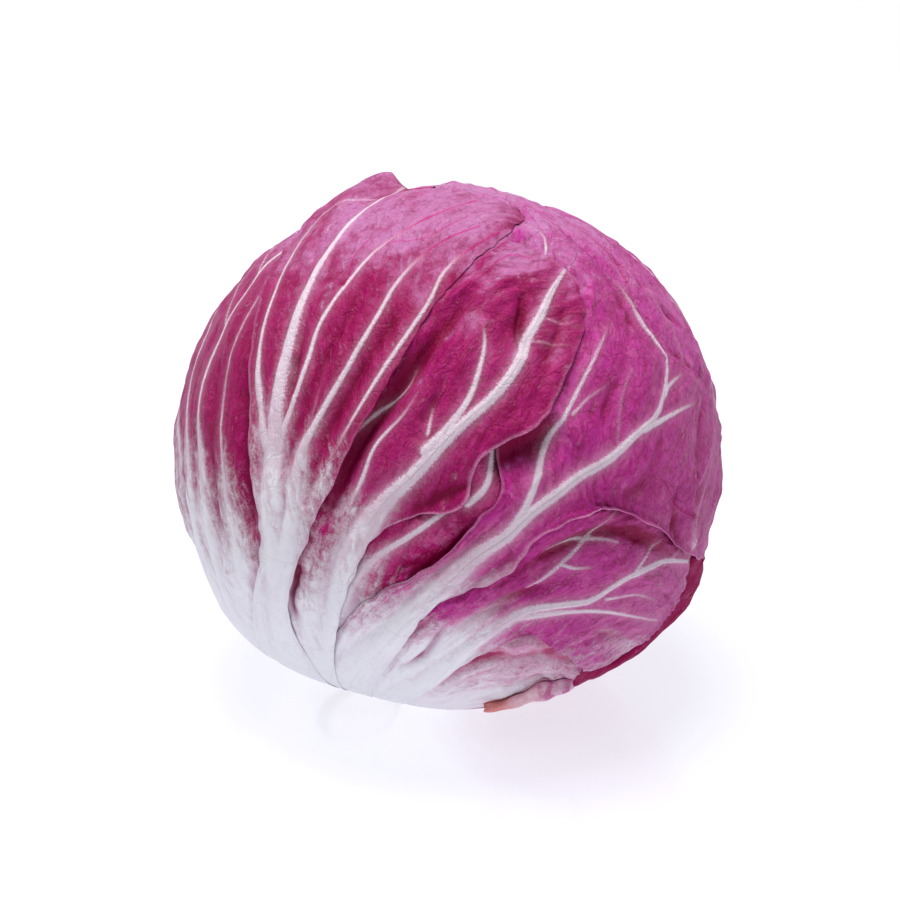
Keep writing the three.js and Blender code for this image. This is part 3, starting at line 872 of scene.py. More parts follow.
rows, columns = ROLL_CELLS
outward = smooth_line(ROLL_LINE, rows)
forward = unit(np.gradient(outward, axis=0))
sideways = np.cross(forward, outward)
walked = np.linspace(0, 1, rows + 1)[:, None]
turn = np.linspace(0, 2 * np.pi * ROLL_TURNS, columns + 1)[None]
radius = along_values(ROLL_RADII, walked)
radius = radius * (1 + LUMPS * np.sin(3 * turn + 9 * walked) + LUMPS * np.sin(21 * walked))
radius = radius - ROLL_STEP * turn / (2 * np.pi)
angle = turn + ROLL_TWIST[0] + ROLL_TWIST[1] * walked
axis = centre + outward * (round_radius(outward) + ROLL_STANDS_OFF)[:, None]
spiral = np.cos(angle)[..., None] * outward[:, None] + np.sin(angle)[..., None] * sideways[:, None]
places = axis[:, None] + spiral * radius[..., None]
places += forward[:, None] * (0.8 * np.sin(2 * turn + 1) * (walked - 0.5))[..., None]
places[..., 2] = np.maximum(places[..., 2], TABLE_GAP)
roll_mm = np.stack([turn * 2 + 0 * walked, 24 * walked + 0 * turn], -1)
roll = sheet_object("withered_leaf_roll", places, roll_mm, {}, 0.2 * np.ones(places.shape[:2]))
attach(roll, "root")
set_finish(roll, "withered_leaf")
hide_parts("withered_leaf")
print("roll of", ROLL_TURNS, "turns,", rows * columns, "faces before its wall")

# %% [markdown]
# ## Veins of the other leaves
# The leaves at the sides and back have the same plan: a thick midrib, and branches that
# leave it in turn on both sides and bend towards the tip. So those ribs are worked out on
# the sheet instead of being listed.


# %% Branching ribs
SPINE_SHARES = np.linspace(0.02, 0.97, 9)  # of the leaf's length
SPINE_WHITES = (1, 1, 1, 0.9, 0.4)
BRANCHED = (0.12, 0.66)  # the first branch's start, and the length that the rest share
BRANCH_REACH = (0.75, 0.95)  # share of the way to the margin
BRANCH_LENGTH = (0.30, 0.42)  # share of the leaf's length
BRANCH_BEND = 0.75  # below 1, a branch leaves the midrib steeply and bends to the tip
BRANCH_WIDTH = 0.42  # share of the midrib's width, for the first branch
BRANCH_TAPER = np.array([1, 0.7, 0.48, 0.34, 0.26])
BRANCH_WHITES = (1, 1, 0.8, 0.4, 0.1)


def places_on(sheet, uv_points):
    grid = sheet["grid"]
    rows, columns = grid.shape[0] - 1, grid.shape[1] - 1
    return np.array([grid[int(round(u * rows)), int(round(v * columns))] for u, v in uv_points])


def branch_path(random, start, outward, middle):
    reach = (middle if outward < 0 else 1 - middle) * random.uniform(*BRANCH_REACH)
    length = random.uniform(*BRANCH_LENGTH)
    return [
        (min(start + length * part, 0.99), middle + outward * reach * part**BRANCH_BEND)
        for part in np.linspace(0, 1, 6)
    ]


def branching_ribs(foot_width=5.0, branches=6, middle=0.5):
    """Returns a function that draws the ribs of a whole leaf on its sheet."""

    def draw(sheet):
        random = np.random.default_rng(sheet["seed"])
        spine = places_on(sheet, [(u, middle) for u in SPINE_SHARES])
        ribs = [rib_line(spine, foot_width * np.linspace(1, 0.1, 8), SPINE_WHITES, core=1)]
        for number in range(branches):
            width = BRANCH_WIDTH * foot_width * (1 - 0.55 * number / branches)
            for outward in (-1, 1):
                first, rest = BRANCHED
                start = first + rest * (number + random.uniform(0, 0.6)) / branches
                branch = places_on(sheet, branch_path(random, start, outward, middle))
                ribs.append(rib_line(branch, width * BRANCH_TAPER, BRANCH_WHITES))
        return ribs

    return draw


print("a leaf with 6 branches a side has", len(branching_ribs()(strip)), "ribs")

# %% [markdown]
# ## Leaves of the left side
# Two leaves wrap the left side. The nearer one has three long white ribs close together,
# and a deep groove where the front leaf's margin stands over it.

# %% Left leaf
lay_leaf(
    "left_leaf",
    left=[(10, -112), (40, -100), (70, -104), (100, -112), (124, -122), (138, -128)],
    rib=[(10, -78), (50, -60), (70, -63), (90, -70), (108, -75), (126, -84), (141, -104)],
    right=[(10, -46), (40, -40), (62, -38), (85, -42), (105, -52), (125, -66), (142, -84)],
    ribs=[
        ([(20, -84), (48, -75), (61, -70), (73, -72), (86, -80), (95, -82), (105, -93),
          (115, -99), (126, -108)], (2.2, 1.6, 1.1, 0.6, 0.5, 0.4, 0.32, 0.25, 0.2),
         (1, 1, 1, 1, 0.9, 0.7)),
        ([(14, -74), (50, -60), (68, -62), (74, -64), (88, -70), (100, -72), (113, -76),
          (124, -79), (136, -88)], (2.6, 2.0, 1.4, 0.8, 0.55, 0.45, 0.38, 0.28, 0.2),
         (1, 1, 1, 1, 1, 0.9, 0.8)),
        ([(14, -56), (52, -47), (70, -52), (85, -59), (98, -64), (109, -67), (118, -72)],
         (2.4, 2.0, 1.4, 0.7, 0.35, 0.25, 0.22, 0.2), (1, 1, 1, 0.9, 0.7, 0.6, 0.5)),
        ([(60, -74), (75, -86), (90, -96), (104, -108)], (0.6, 0.4, 0.3, 0.2), (1, 0.8, 0.5)),
        ([(100, -72), (108, -82), (120, -92)], (0.25, 0.2), (0.7, 0.4)),
        ([(113, -76), (120, -88), (130, -98)], (0.25, 0.2), (0.7, 0.4)),
    ],
    folds=[
        ([(98, -56), (92, -54), (85, -50), (75, -46), (64, -43)], 3.4, 3.6),
        ([(95, -67), (80, -62), (68, -57), (52, -54)], 2.2, 1.5),
        ([(100, -77), (86, -75), (72, -69), (58, -66)], 1.9, 1.3),
        ([(90, -88), (70, -80), (50, -78), (36, -80)], 3.0, 1.4),
    ],
    cells=(170, 105), foot=(44, 78), seed=87,
)

# %% Far left leaf
lay_leaf(
    "far_left_leaf",
    left=[(10, -150), (40, -152), (70, -158), (100, -166), (126, -176), (146, 168), (158, 148)],
    rib=[(10, -114), (40, -112), (70, -118), (100, -128), (126, -142), (146, -158),
         (168, -170)],
    right=[(10, -80), (38, -72), (54, -68), (70, -78), (90, -95), (108, -108), (126, -114),
           (142, -106), (153, -103), (161, -112)],
    cells=(140, 96), ribs=branching_ribs(4.0, 6), foot=(40, 84), seed=76,
)

# %% [markdown]
# ## The inner leaf of the centre gap
# Between the centre leaf and the right leaf the head is open. What shows there is the next
# leaf in: deep crimson, with a thick rib of its own.

# %% Inner leaf of the centre gap
lay_leaf(
    "centre_inner_leaf",
    left=[(10, -34), (40, -28), (70, -28), (90, -22), (108, -10)],
    rib=[(10, -14), (50, -16), (68, -15), (80, -8), (92, 0), (110, 8)],
    right=[(10, 8), (40, -2), (60, 2), (78, 10), (92, 16), (109, 18)],
    ribs=[
        ([(14, -14), (52, -18), (69, -15), (81, -7), (90, -1)], (2.6, 2.0, 1.0, 0.6, 0.45),
         (1, 1, 0.8)),
        ([(89, 0), (93, 2), (97, 2), (102, 1)], (0.7, 0.6, 0.5), (1, 1, 0.8), 0.8),
    ],
    folds=[
        ([(66, -12), (74, -6), (82, 0)], 1.6, 1.2),
        ([(70, -6), (77, -1), (84, 3)], 1.4, 1.0),
    ],
    cells=(140, 70), curl=(0, 0.6, 0), foot=(44, 74), slot="inner_leaf", sink=0.3, bloom=0.6,
    seed=98,
)

# %% [markdown]
# ## Leaves of the back and the crown
# Two leaves cover the back. The crown leaf comes up from the front, under the others, and
# closes the top. It has three short slits where its margin lies on the leaf behind it.

# %% Back leaf
lay_leaf(
    "back_leaf",
    left=[(10, 142), (40, 140), (70, 136), (100, 132), (126, 126), (150, 118), (164, 100)],
    rib=[(10, 178), (40, 176), (70, 175), (100, 172), (126, 168), (152, 162), (174, 140)],
    right=[(10, -146), (40, -148), (70, -148), (100, -150), (126, -154), (150, -160),
           (168, -150)],
    cells=(140, 96), ribs=branching_ribs(4.0, 6), bloom=0.4, seed=120,
)

# %% Crown leaf
lay_leaf(
    "crown_leaf",
    left=[(10, -14), (40, -18), (70, -16), (100, -16), (130, -18), (148, -34), (156, -74),
          (156, -104)],
    rib=[(10, 26), (40, 18), (70, 14), (100, 8), (126, 4), (146, 2), (158, -18), (166, -70),
         (164, -122)],
    right=[(10, 50), (40, 50), (70, 54), (100, 66), (126, 74), (146, 74), (162, 66),
           (174, 20), (173, -150)],
    ribs=[
        ([(120, 4), (135, 3), (144, 2), (149, 2), (154, -1), (155, -8), (156, -19),
          (158, -43)], (0.6, 0.6, 0.55, 0.5, 0.3, 0.25, 0.2, 0.15), (1, 1, 1, 1, 0.5, 0.2, 0)),
        ([(130, 10), (145, 12), (158, 12), (165, -10)], (0.3, 0.25, 0.2), (0.3, 0)),
        ([(130, 36), (146, 38), (160, 34), (170, 0)], (0.3, 0.25, 0.2), (0.3, 0)),
        ([(110, 50), (126, 54), (140, 52), (152, 44), (163, 14)], (0.3, 0.25, 0.2), (0.5, 0.1)),
    ],
    folds=[
        ([(142, -17), (150, -13), (160, -9), (166, -6)], 1.6, -0.7),
        ([(154, 40), (151, 43)], 0.8, 1.6),
        ([(148, 46), (146, 49)], 0.7, 1.8),
        ([(142, 53), (139, 58), (137, 61)], 0.9, 2.2),
    ],
    cells=(150, 110), foot=(16, 42), bloom=0.6, seed=131,
)

# %% Right back leaf
lay_leaf(
    "right_back_leaf",
    left=[(10, 92), (40, 90), (66, 86), (84, 82), (97, 70), (108, 63), (126, 61), (142, 55),
          (157, 40), (168, 6), (167, -50)],
    rib=[(10, 124), (40, 122), (70, 118), (100, 110), (126, 106), (150, 100), (168, 80),
         (177, -110)],
    right=[(10, 156), (40, 156), (70, 152), (100, 148), (126, 146), (146, 148), (160, 164),
           (166, -150)],
    cells=(160, 110), ribs=branching_ribs(4.0, 7), bloom=0.5, seed=109,
)

# %% [markdown]
# ## The innermost leaves
# They only show in the gaps, but they fill them as real ones do. The dark one stands out a
# little at the lower right, past the margins of the outer leaves.

# %% Innermost leaves
lay_leaf(
    "dark_inner_leaf",
    left=[(10, 38), (40, 40), (66, 44), (90, 56), (110, 68)],
    rib=[(10, 72), (40, 74), (66, 84), (92, 92), (114, 94)],
    right=[(10, 102), (40, 98), (66, 102), (92, 108), (112, 108)],
    ribs=[([(12, 90), (40, 94), (66, 98), (92, 102), (108, 103)], (1.6, 0.3), (1, 0.5))],
    folds=[([(56, 66), (66, 73), (76, 77), (86, 79), (92, 80)], 4.0, -1.3)],
    cells=(70, 44), foot=(14, 40), wrinkle=2.0, slot="inner_leaf", seed=142,
)
lay_leaf(
    "inner_back_leaf",
    left=[(10, 114), (40, 108), (70, 108), (100, 108), (130, 112), (152, 124)],
    rib=[(10, 146), (40, 144), (70, 144), (100, 146), (132, 150), (162, 168)],
    right=[(10, 180), (40, 180), (70, -178), (100, -174), (130, -168), (152, -156)],
    cells=(60, 40), ribs=branching_ribs(4.0, 5), slot="inner_leaf", seed=153,
)
lay_leaf(
    "inner_left_leaf",
    left=[(10, -166), (40, -170), (70, -172), (100, -172), (130, -166), (154, -150)],
    rib=[(10, -130), (40, -132), (70, -134), (100, -134), (132, -130), (162, -110)],
    right=[(10, -96), (40, -94), (70, -96), (100, -98), (130, -96), (152, -80)],
    cells=(60, 40), ribs=branching_ribs(4.0, 5), slot="inner_leaf", seed=164,
)

# %% [markdown]
# ## The heart
# Inside, the young leaves are packed so tightly that they make one firm ball. It is a
# sphere a little under the round shape, kept below the ceiling of the leaves over it, and
# creased along the stem's direction, so that the bits that show in the gaps look like the
# backs of small leaves.

# %% Heart
HEART_DEPTH = 8.0  # mm below the round shape
HEART_FACES = (90, 60)  # faces round it, and from pole to pole
DIMPLE = np.cos(np.radians(11))  # the heart leaves room for the stem this far round it
DIMPLE_RADIUS = 41  # mm from the middle of the head
CREASE_DEPTH, CREASES = 0.9, 5
LUMP_HEIGHT, LUMP_LENGTH = 0.7, 9  # mm

work = bmesh.new()
bmesh.ops.create_uvsphere(
    work, u_segments=HEART_FACES[0], v_segments=HEART_FACES[1], radius=1
)
heart_mesh = bpy.data.meshes.new("heart_leaves")
work.to_mesh(heart_mesh)
work.free()
ways = np.zeros(len(heart_mesh.vertices) * 3)
heart_mesh.vertices.foreach_get("co", ways)
ways = unit(ways.reshape(-1, 3))
turn_down = np.array(Vector((0, 0, -1)).rotation_difference(Vector(stem)).to_matrix())
ways = ways @ turn_down.T
deep = np.full(len(ways), HEAD_RADIUS - HEART_DEPTH)
turned = np.arctan2(ways @ side, ways @ front)
lumps = LUMP_HEIGHT * ripples(ways * HEAD_RADIUS, LUMP_LENGTH, 5)
deep += CREASE_DEPTH * np.sin(CREASES * turned + 3 * (ways @ stem)) + lumps
deep = np.minimum(keep_flat_spot(ways, deep), limit_at(ways) - GAP)
deep = np.where(ways @ stem > DIMPLE, np.minimum(deep, DIMPLE_RADIUS), deep)
heart_mesh.vertices.foreach_set("co", ((centre + ways * deep[:, None]) * MM).ravel())
# The heart has no ribs. It is marked as sunk, so the finish paints it in deep shade all over.
for quality, value in (("rib_edge", FAR), ("rib_core", FAR), ("hollow", 1.5)):
    kept = heart_mesh.attributes.new(quality, "FLOAT", "POINT")
    kept.data.foreach_set("value", np.full(len(ways), value, np.float32))
heart_mesh.uv_layers.new(name="leaf_mm")
heart_mesh.shade_smooth()
heart = bpy.data.objects.new("heart_leaves", heart_mesh)
bpy.context.scene.collection.objects.link(heart)
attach(heart, "root")
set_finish(heart, "inner_leaf")
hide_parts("heart")
print("heart", np.round(deep.min()), "to", np.round(deep.max()), "mm from the centre")

# %% [markdown]
# ## Shader maths in plain expressions
# A finish is mostly sums. Wrapping a socket in a small class lets a sum be written as one,
# and each operator adds the Math node that does it. Colours are mixed, places are scaled
# and shifted, and noises are made, by one helper each.


# %% Shader expressions
class Value:
    """A number that changes over a surface: the output of a node."""

    tree = None

    def __init__(self, socket):
        self.socket = socket

    @classmethod
    def node(cls, kind, settings=(), inputs=(), output=0):
        made = cls.tree.nodes.new(kind)
        for setting, value in dict(settings).items():
            setattr(made, setting, value)
        for name, value in dict(inputs).items():
            if isinstance(value, Value):
                cls.tree.links.new(value.socket, made.inputs[name])
            else:
                made.inputs[name].default_value = value
        return Value(made.outputs[output])

    def maths(self, operation, *others):
        inputs = dict(enumerate((self, *others)))
        return Value.node("ShaderNodeMath", {"operation": operation}, inputs)

    def __add__(self, other):
        return self.maths("ADD", other)

    def __mul__(self, other):
        return self.maths("MULTIPLY", other)

    def __sub__(self, other):
        return self.maths("SUBTRACT", other)

    def __rsub__(self, other):
        return (self * -1.0) + other

    __radd__ = __add__
    __rmul__ = __mul__

    def between(self, start, end):
        """0 at start, 1 at end, and smooth in between."""
        kind = {"interpolation_type": "SMOOTHSTEP"}
        inputs = {"Value": self, "From Min": start, "From Max": end}
        return Value.node("ShaderNodeMapRange", kind, inputs)


def blend(amount, first, second):
    """Mix of two colours; amount 0 gives the first."""
    kind = {"data_type": "RGBA"}
    colours = [c if isinstance(c, Value) else (*c, 1) for c in (first, second)]
    inputs = {0: amount, 6: colours[0], 7: colours[1]}
    return Value.node("ShaderNodeMix", kind, inputs, 2)


def attribute(name):
    return Value.node("ShaderNodeAttribute", {"attribute_name": name}, output=2)


def grain(place, scale, detail=2.0, roughness=0.5):
    inputs = {"Vector": place, "Scale": scale, "Detail": detail, "Roughness": roughness}
    return Value.node("ShaderNodeTexNoise", {}, inputs)


def scaled(place, factors):
    return Value.node("ShaderNodeVectorMath", {"operation": "MULTIPLY"}, {0: place, 1: factors})


def shifted(place, by, amount):
    moved = Value.node("ShaderNodeVectorMath", {"operation": "SCALE"}, {0: by, "Scale": amount})
    return Value.node("ShaderNodeVectorMath", {"operation": "ADD"}, {0: place, 1: moved})


def crackle(place, scale):
    """Distance to the sides of a net of irregular cells."""
    kind = {"feature": "DISTANCE_TO_EDGE"}
    return Value.node("ShaderNodeTexVoronoi", kind, {"Vector": place, "Scale": scale})


def place_in_mm():
    return scaled(Value.node("ShaderNodeTexCoord", output=3), (1 / MM, 1 / MM, 1 / MM))


def new_finish(name):
    """A new material's tree and its shader; the nodes made next go into that tree."""
    material = bpy.data.materials.new(name)
    material.use_nodes = True
    Value.tree = material.node_tree
    return material, material.node_tree.nodes["Principled BSDF"]


def feed(value, shader, socket):
    Value.tree.links.new(value.socket, shader.inputs[socket])


def bumped(height, strength):
    settings = {"Height": height, "Strength": strength, "Distance": MM}
    return Value.node("ShaderNodeBump", {}, settings)


helpers = (blend, attribute, grain, scaled, shifted, crackle, bumped)
print("shader helpers:", *(helper.__name__ for helper in helpers))

# %% [markdown]
# ## Patterns on a leaf
# Everything uneven on a leaf comes from a few noises. Some are the same in all directions
# and read the object's own millimetres. Others are stretched along the leaf, so they read
# its UV map, which counts the millimetres across and along it. The attributes say where the
# ribs, the foot and the hollows are, and noises make their borders ragged.


# %% Leaf patterns
def leaf_patterns():
    """Noises and masks by name. A grain has its cells a mm, its detail and its roughness."""
    place = place_in_mm()
    leaf_place = Value.node("ShaderNodeUVMap", {"uv_map": "leaf_mm"})
    drift = Value.node("ShaderNodeTexNoise", {}, {"Vector": place, "Scale": 0.25}, 1)
    warped, ruffled = shifted(place, drift, 2.5), shifted(place, drift, 4.0)
    bent = shifted(leaf_place, drift, 2.5)
    leaf = SimpleNamespace(
        speckle=grain(place, 2.6, 3, 0.7),
        broad=grain(place, 0.12, 4, 0.6),
        patchy=grain(place, 0.5, 8, 0.72),
        fibres=grain(scaled(bent, (2.4, 0.26, 1)), 1.0, 4, 0.65),
        streaks=grain(scaled(bent, (0.7, 0.10, 1)), 1.0, 4, 0.6),
        hairs=grain(scaled(leaf_place, (0.7, 4.5, 1)), 1.0, 3, 0.7),
        dents=grain(scaled(bent, (0.95, 0.42, 1)), 1.0, 3, 0.6),
        dashes=grain(scaled(bent, (4.2, 1.0, 1)), 1.0, 2, 0.6).between(0.56, 0.72),
        mottles=grain(ruffled, 0.22, 4, 0.65).between(0.52, 0.66),
        net=1 - crackle(warped, 0.13).between(0.004, 0.030),
        small_net=1 - crackle(warped, 0.42).between(0.02, 0.08),
        edge=attribute("rib_edge"),
        white=attribute("rib_white"),
        wide=attribute("rib_width").between(0.2, 2.0),
        hollow=attribute("hollow"),
        bloom=attribute("bloom"),
    )
    folded = (grain(ruffled, 0.34, 3, 0.55) - 0.5).maths("ABSOLUTE")
    leaf.creases = 1 - folded.between(0.0, 0.055)
    uneven = (leaf.broad - 0.5) * 0.40 + (leaf.patchy - 0.5) * 0.30 + (leaf.streaks - 0.5) * 0.25
    # lit is a painted sheen: how far the blade faces up, less in hollows.
    leaf.lit = (attribute("upward") + uneven).between(0.71, 1.0)
    leaf.lit = leaf.lit * (1 - leaf.hollow.between(0.6, 1.8))
    # sunk is painted shade: deep crimson in hollows and under covering leaves.
    leaf.sunk = (leaf.hollow + (leaf.broad - 0.5) * 0.8).between(0.0, 1.4) * (1 - leaf.lit * 0.85)
    spread = (leaf.patchy - 0.5) * 0.9 + (leaf.streaks - 0.5) * 1.1 + (leaf.speckle - 0.5) * 0.5
    leaf.paled = (attribute("foot") + spread).between(0.1, 1.0)
    # In deep hollows the white of the foot gives way to that painted shade.
    leaf.paled = leaf.paled * (1 - leaf.hollow.between(0.7, 1.5) * 0.8)
    return leaf


trial, _ = new_finish("trial")
patterns = len(vars(leaf_patterns()))
print("a leaf has", patterns, "patterns, made by", len(trial.node_tree.nodes), "nodes")
bpy.data.materials.remove(trial)

# %% [markdown]
# ## The colour of the blade
# The blade is deep crimson. Painted shade deepens it where it is sunk or lies under the
# margin of another leaf, and a painted sheen turns it lilac where it faces up and towards
# the head's outline. Streaks and fibres run along it and dents and creases go across it.
# The dents and creases are painted darker in their troughs, as shade, and the dents paler
# on their crests, as highlight. A net of fine dark veins lies over all of it. Beside a rib
# it flushes pink, and then white.

# %% Blade colour
PALE_DASH = (0.80, 0.38, 0.60)
FLUSH_PINK = (0.72, 0.20, 0.44)


def rib_flushes(leaf):
    """How white, and how pink, the blade is beside a rib."""
    blurred = leaf.edge + (leaf.hairs - 0.5) * 1.5 + (leaf.speckle - 0.5) * 3.0
    blurred = blurred + (leaf.patchy - 0.5) * 3.2
    halo = (1 - blurred.between(-0.5, 1.8)) * leaf.white * (leaf.wide * 0.25 + 0.13)
    flushed = leaf.edge + (leaf.streaks - 0.5) * 9.0 + (leaf.patchy - 0.5) * 6.0
    flush = (1 - flushed.between(0.0, 4.0)) * leaf.white * (leaf.wide * 0.5 + 0.18)
    return halo, flush * (leaf.bloom * 1.5 + 0.3)


def blade_colour(leaf, deep, bright, violet, lilac_bloom_and_sheen, pink, rib_white):
    lit, sunk, bloom, speckle, fibres = leaf.lit, leaf.sunk, leaf.bloom, leaf.speckle, leaf.fibres
    blade = blend(bloom * 1.5, bright, violet)
    # Painted shade in hollows and under covering leaves.
    blade = blend(sunk, blade, deep)
    blade = blend(leaf.streaks.between(0.45, 0.62) * (0.6 - 0.45 * bloom), blade, deep)
    # Painted sheen: lilac where the blade faces up, with a little of the leaf's own violet bloom.
    blade = blend((lit * 0.9 + bloom * 0.12) * (1 - sunk * 0.7), blade, lilac_bloom_and_sheen)
    # Painted sheen towards the head's outline.
    blade = blend(attribute("outline_sheen") * 0.28 * (1 - lit) * (1 - sunk), blade, lilac_bloom_and_sheen)
    # paler and darker are partly the blade's own grain, and partly painted highlight and painted
    # shade on the fine bump. The shade is less where the blade faces up.
    paler = fibres.between(0.50, 0.72) * 0.22 + speckle.between(0.52, 0.72) * 0.15
    blade = blend(paler * (1 - sunk * 0.7) * (1 - bloom * 0.7), blade, pink)
    darker = (1 - fibres.between(0.30, 0.48)) * 0.45 + (1 - speckle.between(0.30, 0.46)) * 0.35
    blade = blend(darker * (1 - lit * 0.6) * (1 - bloom * 0.7), blade, deep)
    blade = blend((leaf.net * 0.35 + leaf.small_net * 0.08) * (0.4 + bloom), blade, deep)
    # Pale dashes are the leaf's own. Where it faces up they show more, as painted sheen.
    spots = leaf.dashes * leaf.patchy.between(0.40, 0.62) * (lit * 0.35 + 0.14)
    blade = blend(spots * (1 - sunk), blade, PALE_DASH)
    # Painted highlights on the crests of the dents, and painted shade in their troughs.
    blade = blend(leaf.dents.between(0.53, 0.68) * 0.20 * (1 - sunk * 0.6), blade, pink)
    blade = blend((1 - leaf.dents.between(0.32, 0.47)) * 0.40, blade, deep)
    blade = blend(leaf.mottles * (1 - sunk) * (0.05 + bloom * 0.5) * (1 - lit), blade, FLUSH_PINK)
    # Painted shade in the creases, which the bump also sinks.
    blade = blend(leaf.creases * (0.34 - lit * 0.18), blade, deep)
    halo, flush = rib_flushes(leaf)
    blade = blend(flush * (1 - sunk * 0.6) * (1 - lit), blade, FLUSH_PINK)
    return blend(halo, blade, rib_white)


print("pinks on every blade:", FLUSH_PINK, "beside ribs and", PALE_DASH, "in dashes")

# %% [markdown]
# ## The white of ribs and foot
# Thick ribs are white, and so is the whole foot of a leaf. Towards the tip a rib turns to
# the dark red of a vein. The white ends in a ragged fringe, so the distance to the rib is
# disturbed by fine noises before it is cut.

# %% Ribs and foot
WHITE = (0.75, 0.62, 0.71)
FOOT_WHITE = (0.83, 0.80, 0.86)
SHADED_WHITE = (0.56, 0.35, 0.50)
DARK_VEIN, LIT_VEIN = (0.34, 0.002, 0.10), (0.52, 0.015, 0.20)
CORE_LINE = (0.34, 0.26, 0.30)
RIM_PINK = (0.74, 0.32, 0.54)


def with_ribs_and_foot(leaf, blade, rib_white, foot_white, shaded_white):
    speckle, wide = leaf.speckle, leaf.wide
    # Painted shade on the white of the foot in hollows, broken up by streaks.
    shaded = (leaf.hollow * 0.6 + (leaf.streaks - 0.5) * 0.8).between(-0.1, 0.8)
    painted = blend(leaf.paled, blade, blend(shaded, foot_white, shaded_white))
    teeth = (leaf.hairs - 0.5) * (wide * 0.6 + 0.2) + (speckle - 0.5) * (wide * 1.8 + 0.5)
    rib = 1 - (leaf.edge + teeth).between(-0.28, 0.30)
    rib_grain = ((speckle - 0.5) * 1.5 + (leaf.fibres - 0.5) + 0.3 * wide).between(0.0, 0.8)
    vein_white = blend(rib_grain * 0.45, rib_white, shaded_white)
    # Veins are painted lighter where they face up, as a painted highlight.
    vein_dark = blend(leaf.lit, DARK_VEIN, LIT_VEIN)
    whiteness = (leaf.white + (speckle - 0.5) * 0.3).between(0.1, 0.8)
    painted = blend(rib * (1 - leaf.paled), painted, blend(whiteness, vein_dark, vein_white))
    line = (1 - attribute("rib_core").between(0.05, 0.3)) * (1 - leaf.paled * 0.8) * 0.35
    painted = blend(line, painted, CORE_LINE)
    return blend(attribute("rim") * speckle.between(0.2, 0.6) * 0.6, painted, RIM_PINK)


print("whites:", WHITE, "on ribs,", FOOT_WHITE, "on the foot and", SHADED_WHITE, "in shade")

# %% [markdown]
# ## The finish of a leaf
# The bump carries what is too fine for the grid: speckles, fibres, dents, creases and the
# net of veins. A little light goes into the leaf, and comes out red. The same finish with
# other colours serves the inner leaves and the withered one.


# %% Leaf finish
def leaf_finish(name, deep, bright, violet, lilac_bloom_and_sheen, pink, rib_white=WHITE,
                foot_white=FOOT_WHITE, shaded_white=SHADED_WHITE, gloss=0.12):
    material, shader = new_finish(name)
    leaf = leaf_patterns()
    blade = blade_colour(leaf, deep, bright, violet, lilac_bloom_and_sheen, pink, rib_white)
    painted = with_ribs_and_foot(leaf, blade, rib_white, foot_white, shaded_white)
    feed(painted, shader, "Base Color")
    feed(0.44 + (leaf.speckle - 0.5) * 0.2 - leaf.lit * 0.06, shader, "Roughness")
    fine = leaf.speckle * 0.10 + leaf.fibres * 0.16 + leaf.dents * 0.42
    relief = fine * (1 - leaf.paled * 0.7)
    relief += leaf.creases * (leaf.paled * 0.04 - 0.06) + leaf.net * -0.07 + leaf.patchy * 0.16
    feed(bumped(relief, 1.0), shader, "Normal")
    shader.inputs["Specular IOR Level"].default_value = gloss
    shader.inputs["Subsurface Weight"].default_value = 0.12
    shader.inputs["Subsurface Radius"].default_value = (1.0, 0.35, 0.5)
    shader.inputs["Subsurface Scale"].default_value = 0.0012
    return material


finishes = {
    "leaf": leaf_finish(
        "leaf",
        deep=(0.23, 0.0, 0.045),
        bright=(0.325, 0.0, 0.095),
        violet=(0.57, 0.02, 0.34),
        lilac_bloom_and_sheen=(0.51, 0.20, 0.43),
        pink=(0.62, 0.05, 0.28),
    ),
    # The inner leaves are darker. This is partly their own deeper crimson, and partly painted
    # shade of the gaps they show in.
    "inner_leaf": leaf_finish(
        "inner leaf",
        deep=(0.20, 0.0, 0.035),
        bright=(0.24, 0.001, 0.05),
        violet=(0.44, 0.005, 0.15),
        lilac_bloom_and_sheen=(0.44, 0.01, 0.16),
        pink=(0.60, 0.06, 0.28),
        gloss=0.02,
    ),
    "withered_leaf": leaf_finish(
        "withered leaf",
        deep=(0.50, 0.05, 0.18),
        bright=(0.62, 0.24, 0.44),
        violet=(0.62, 0.30, 0.50),
        lilac_bloom_and_sheen=(0.72, 0.50, 0.66),
        pink=(0.78, 0.52, 0.66),
        foot_white=(0.84, 0.78, 0.86),
        shaded_white=(0.64, 0.36, 0.48),
    ),
}
for piece in (*pieces.values(), heart):
    piece.data.materials.append(finishes[piece["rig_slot"]])
nodes = len(finishes["leaf"].node_tree.nodes)
print(len(finishes), "leaf finishes on", len(pieces) + 1, "pieces, of", nodes, "nodes each")

# %% [markdown]
# ## The rolled edge's finish
# The roll is lilac where it leaves the leaf, cream on its folds and red brown at its
# broken end, where it has dried.

# %% Finish of the rolled edge
LILAC, PALE_LILAC = (0.56, 0.12, 0.34), (0.78, 0.50, 0.66)
CREAM, PALE_SPOT = (0.78, 0.52, 0.54), (0.80, 0.60, 0.52)
RED_BROWN, DARK_SPOT = (0.66, 0.20, 0.19), (0.40, 0.06, 0.08)


def roll_finish():
    material, shader = new_finish("rolled edge")
    place = place_in_mm()
    leaf_place = Value.node("ShaderNodeUVMap", {"uv_map": "leaf_mm"})
    along = Value.node("ShaderNodeSeparateXYZ", {}, {0: leaf_place}, 1)
    patches, dots = grain(place, 0.45, 4, 0.6), grain(place, 2.4, 3, 0.7)
    drift = along + (patches - 0.5) * 12
    painted = blend(patches.between(0.42, 0.60), LILAC, PALE_LILAC)
    painted = blend(drift.between(6, 12) * 0.7, painted, CREAM)
    painted = blend(drift.between(14, 21), painted, RED_BROWN)
    painted = blend(dots.between(0.52, 0.72) * 0.4, painted, PALE_SPOT)
    painted = blend((1 - dots.between(0.30, 0.44)) * 0.4, painted, DARK_SPOT)
    feed(painted, shader, "Base Color")
    shader.inputs["Roughness"].default_value = 0.55
    return material


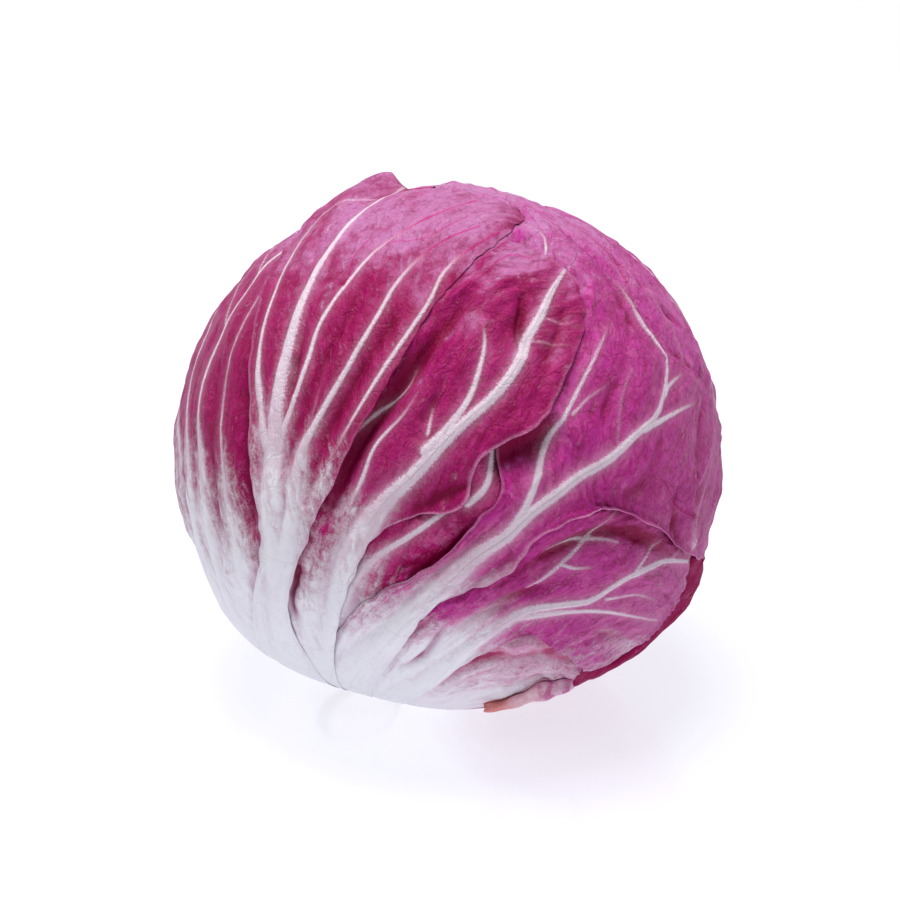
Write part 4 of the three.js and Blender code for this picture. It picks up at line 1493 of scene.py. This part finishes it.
roll.data.materials.append(roll_finish())
print(roll.name, "finished in four colours and two kinds of spots")

# %% [markdown]
# ## The stem
# A knife cut the head from its root, so the short stem ends in a flat, dried face. The
# packed stub has the right shape, and only needs its finish.

# %% Stem finish
FRESH_CUT, DRIED_CUT = (0.78, 0.74, 0.70), (0.56, 0.42, 0.28)


def stem_finish():
    material, shader = new_finish("stem")
    place = place_in_mm()
    patches = grain(place, 0.5, 5, 0.6)
    feed(blend(patches.between(0.45, 0.75), FRESH_CUT, DRIED_CUT), shader, "Base Color")
    feed(bumped(grain(place, 1.8, 2), 0.4), shader, "Normal")
    shader.inputs["Roughness"].default_value = 0.75
    return material


cut_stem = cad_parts["cut_stem"]
cut_stem.data.materials.clear()
cut_stem.data.materials.append(stem_finish())
print(cut_stem.name, "finished, mm:", np.round(np.array(cut_stem.dimensions) / MM, 1))

# %% [markdown]
# ## Table and light
# The head sits on a white, slightly glossy table in an even white light, with one large
# soft lamp overhead that gives the leaves some sheen. The lilac sheen where they face up is
# painted into their finish.

# %% Table
TABLE_SIZE = 6  # m
TABLE_GREY = (0.30, 0.31, 0.34, 1)
TABLE_GLOW, GLOW_STRENGTH = (0.93, 0.93, 1.0, 1), 0.77  # keeps the table white all over

work = bmesh.new()
bmesh.ops.create_grid(work, x_segments=1, y_segments=1, size=TABLE_SIZE)
table_mesh = bpy.data.meshes.new("table")
work.to_mesh(table_mesh)
work.free()
table = bpy.data.objects.new("table", table_mesh)
bpy.context.scene.collection.objects.link(table)
white_table, shader = new_finish("white table")
shader.inputs["Base Color"].default_value = TABLE_GREY
shader.inputs["Roughness"].default_value = 0.18
shader.inputs["Specular IOR Level"].default_value = 0.7
shader.inputs["Emission Color"].default_value = TABLE_GLOW
shader.inputs["Emission Strength"].default_value = GLOW_STRENGTH
table.data.materials.append(white_table)
print("table", round(table.dimensions.x), "m wide")

# %% Light
ROOM_STRENGTH = 0.45
LAMP_PLACE = (-0.06, 0.02, 0.80)  # m
LAMP_SIZE = 0.50  # m
LAMP_POWER = 6.0  # W

world = bpy.data.worlds.new("white room")
world.use_nodes = True
world.node_tree.nodes["Background"].inputs["Color"].default_value = (1, 1, 1, 1)
world.node_tree.nodes["Background"].inputs["Strength"].default_value = ROOM_STRENGTH
bpy.context.scene.world = world
lamp = bpy.data.lights.new("overhead", "AREA")
lamp.shape = "DISK"
lamp.size = LAMP_SIZE
lamp.energy = LAMP_POWER
holder = bpy.data.objects.new("overhead", lamp)
holder.location = LAMP_PLACE
shining = Vector((0, 0, CENTRE_HEIGHT * MM)) - Vector(LAMP_PLACE)
holder.rotation_euler = shining.to_track_quat("-Z", "Y").to_euler()
bpy.context.scene.collection.objects.link(holder)
print("lamp of", LAMP_POWER, "W,", round(shining.length, 2), "m from the head")

# %% [markdown]
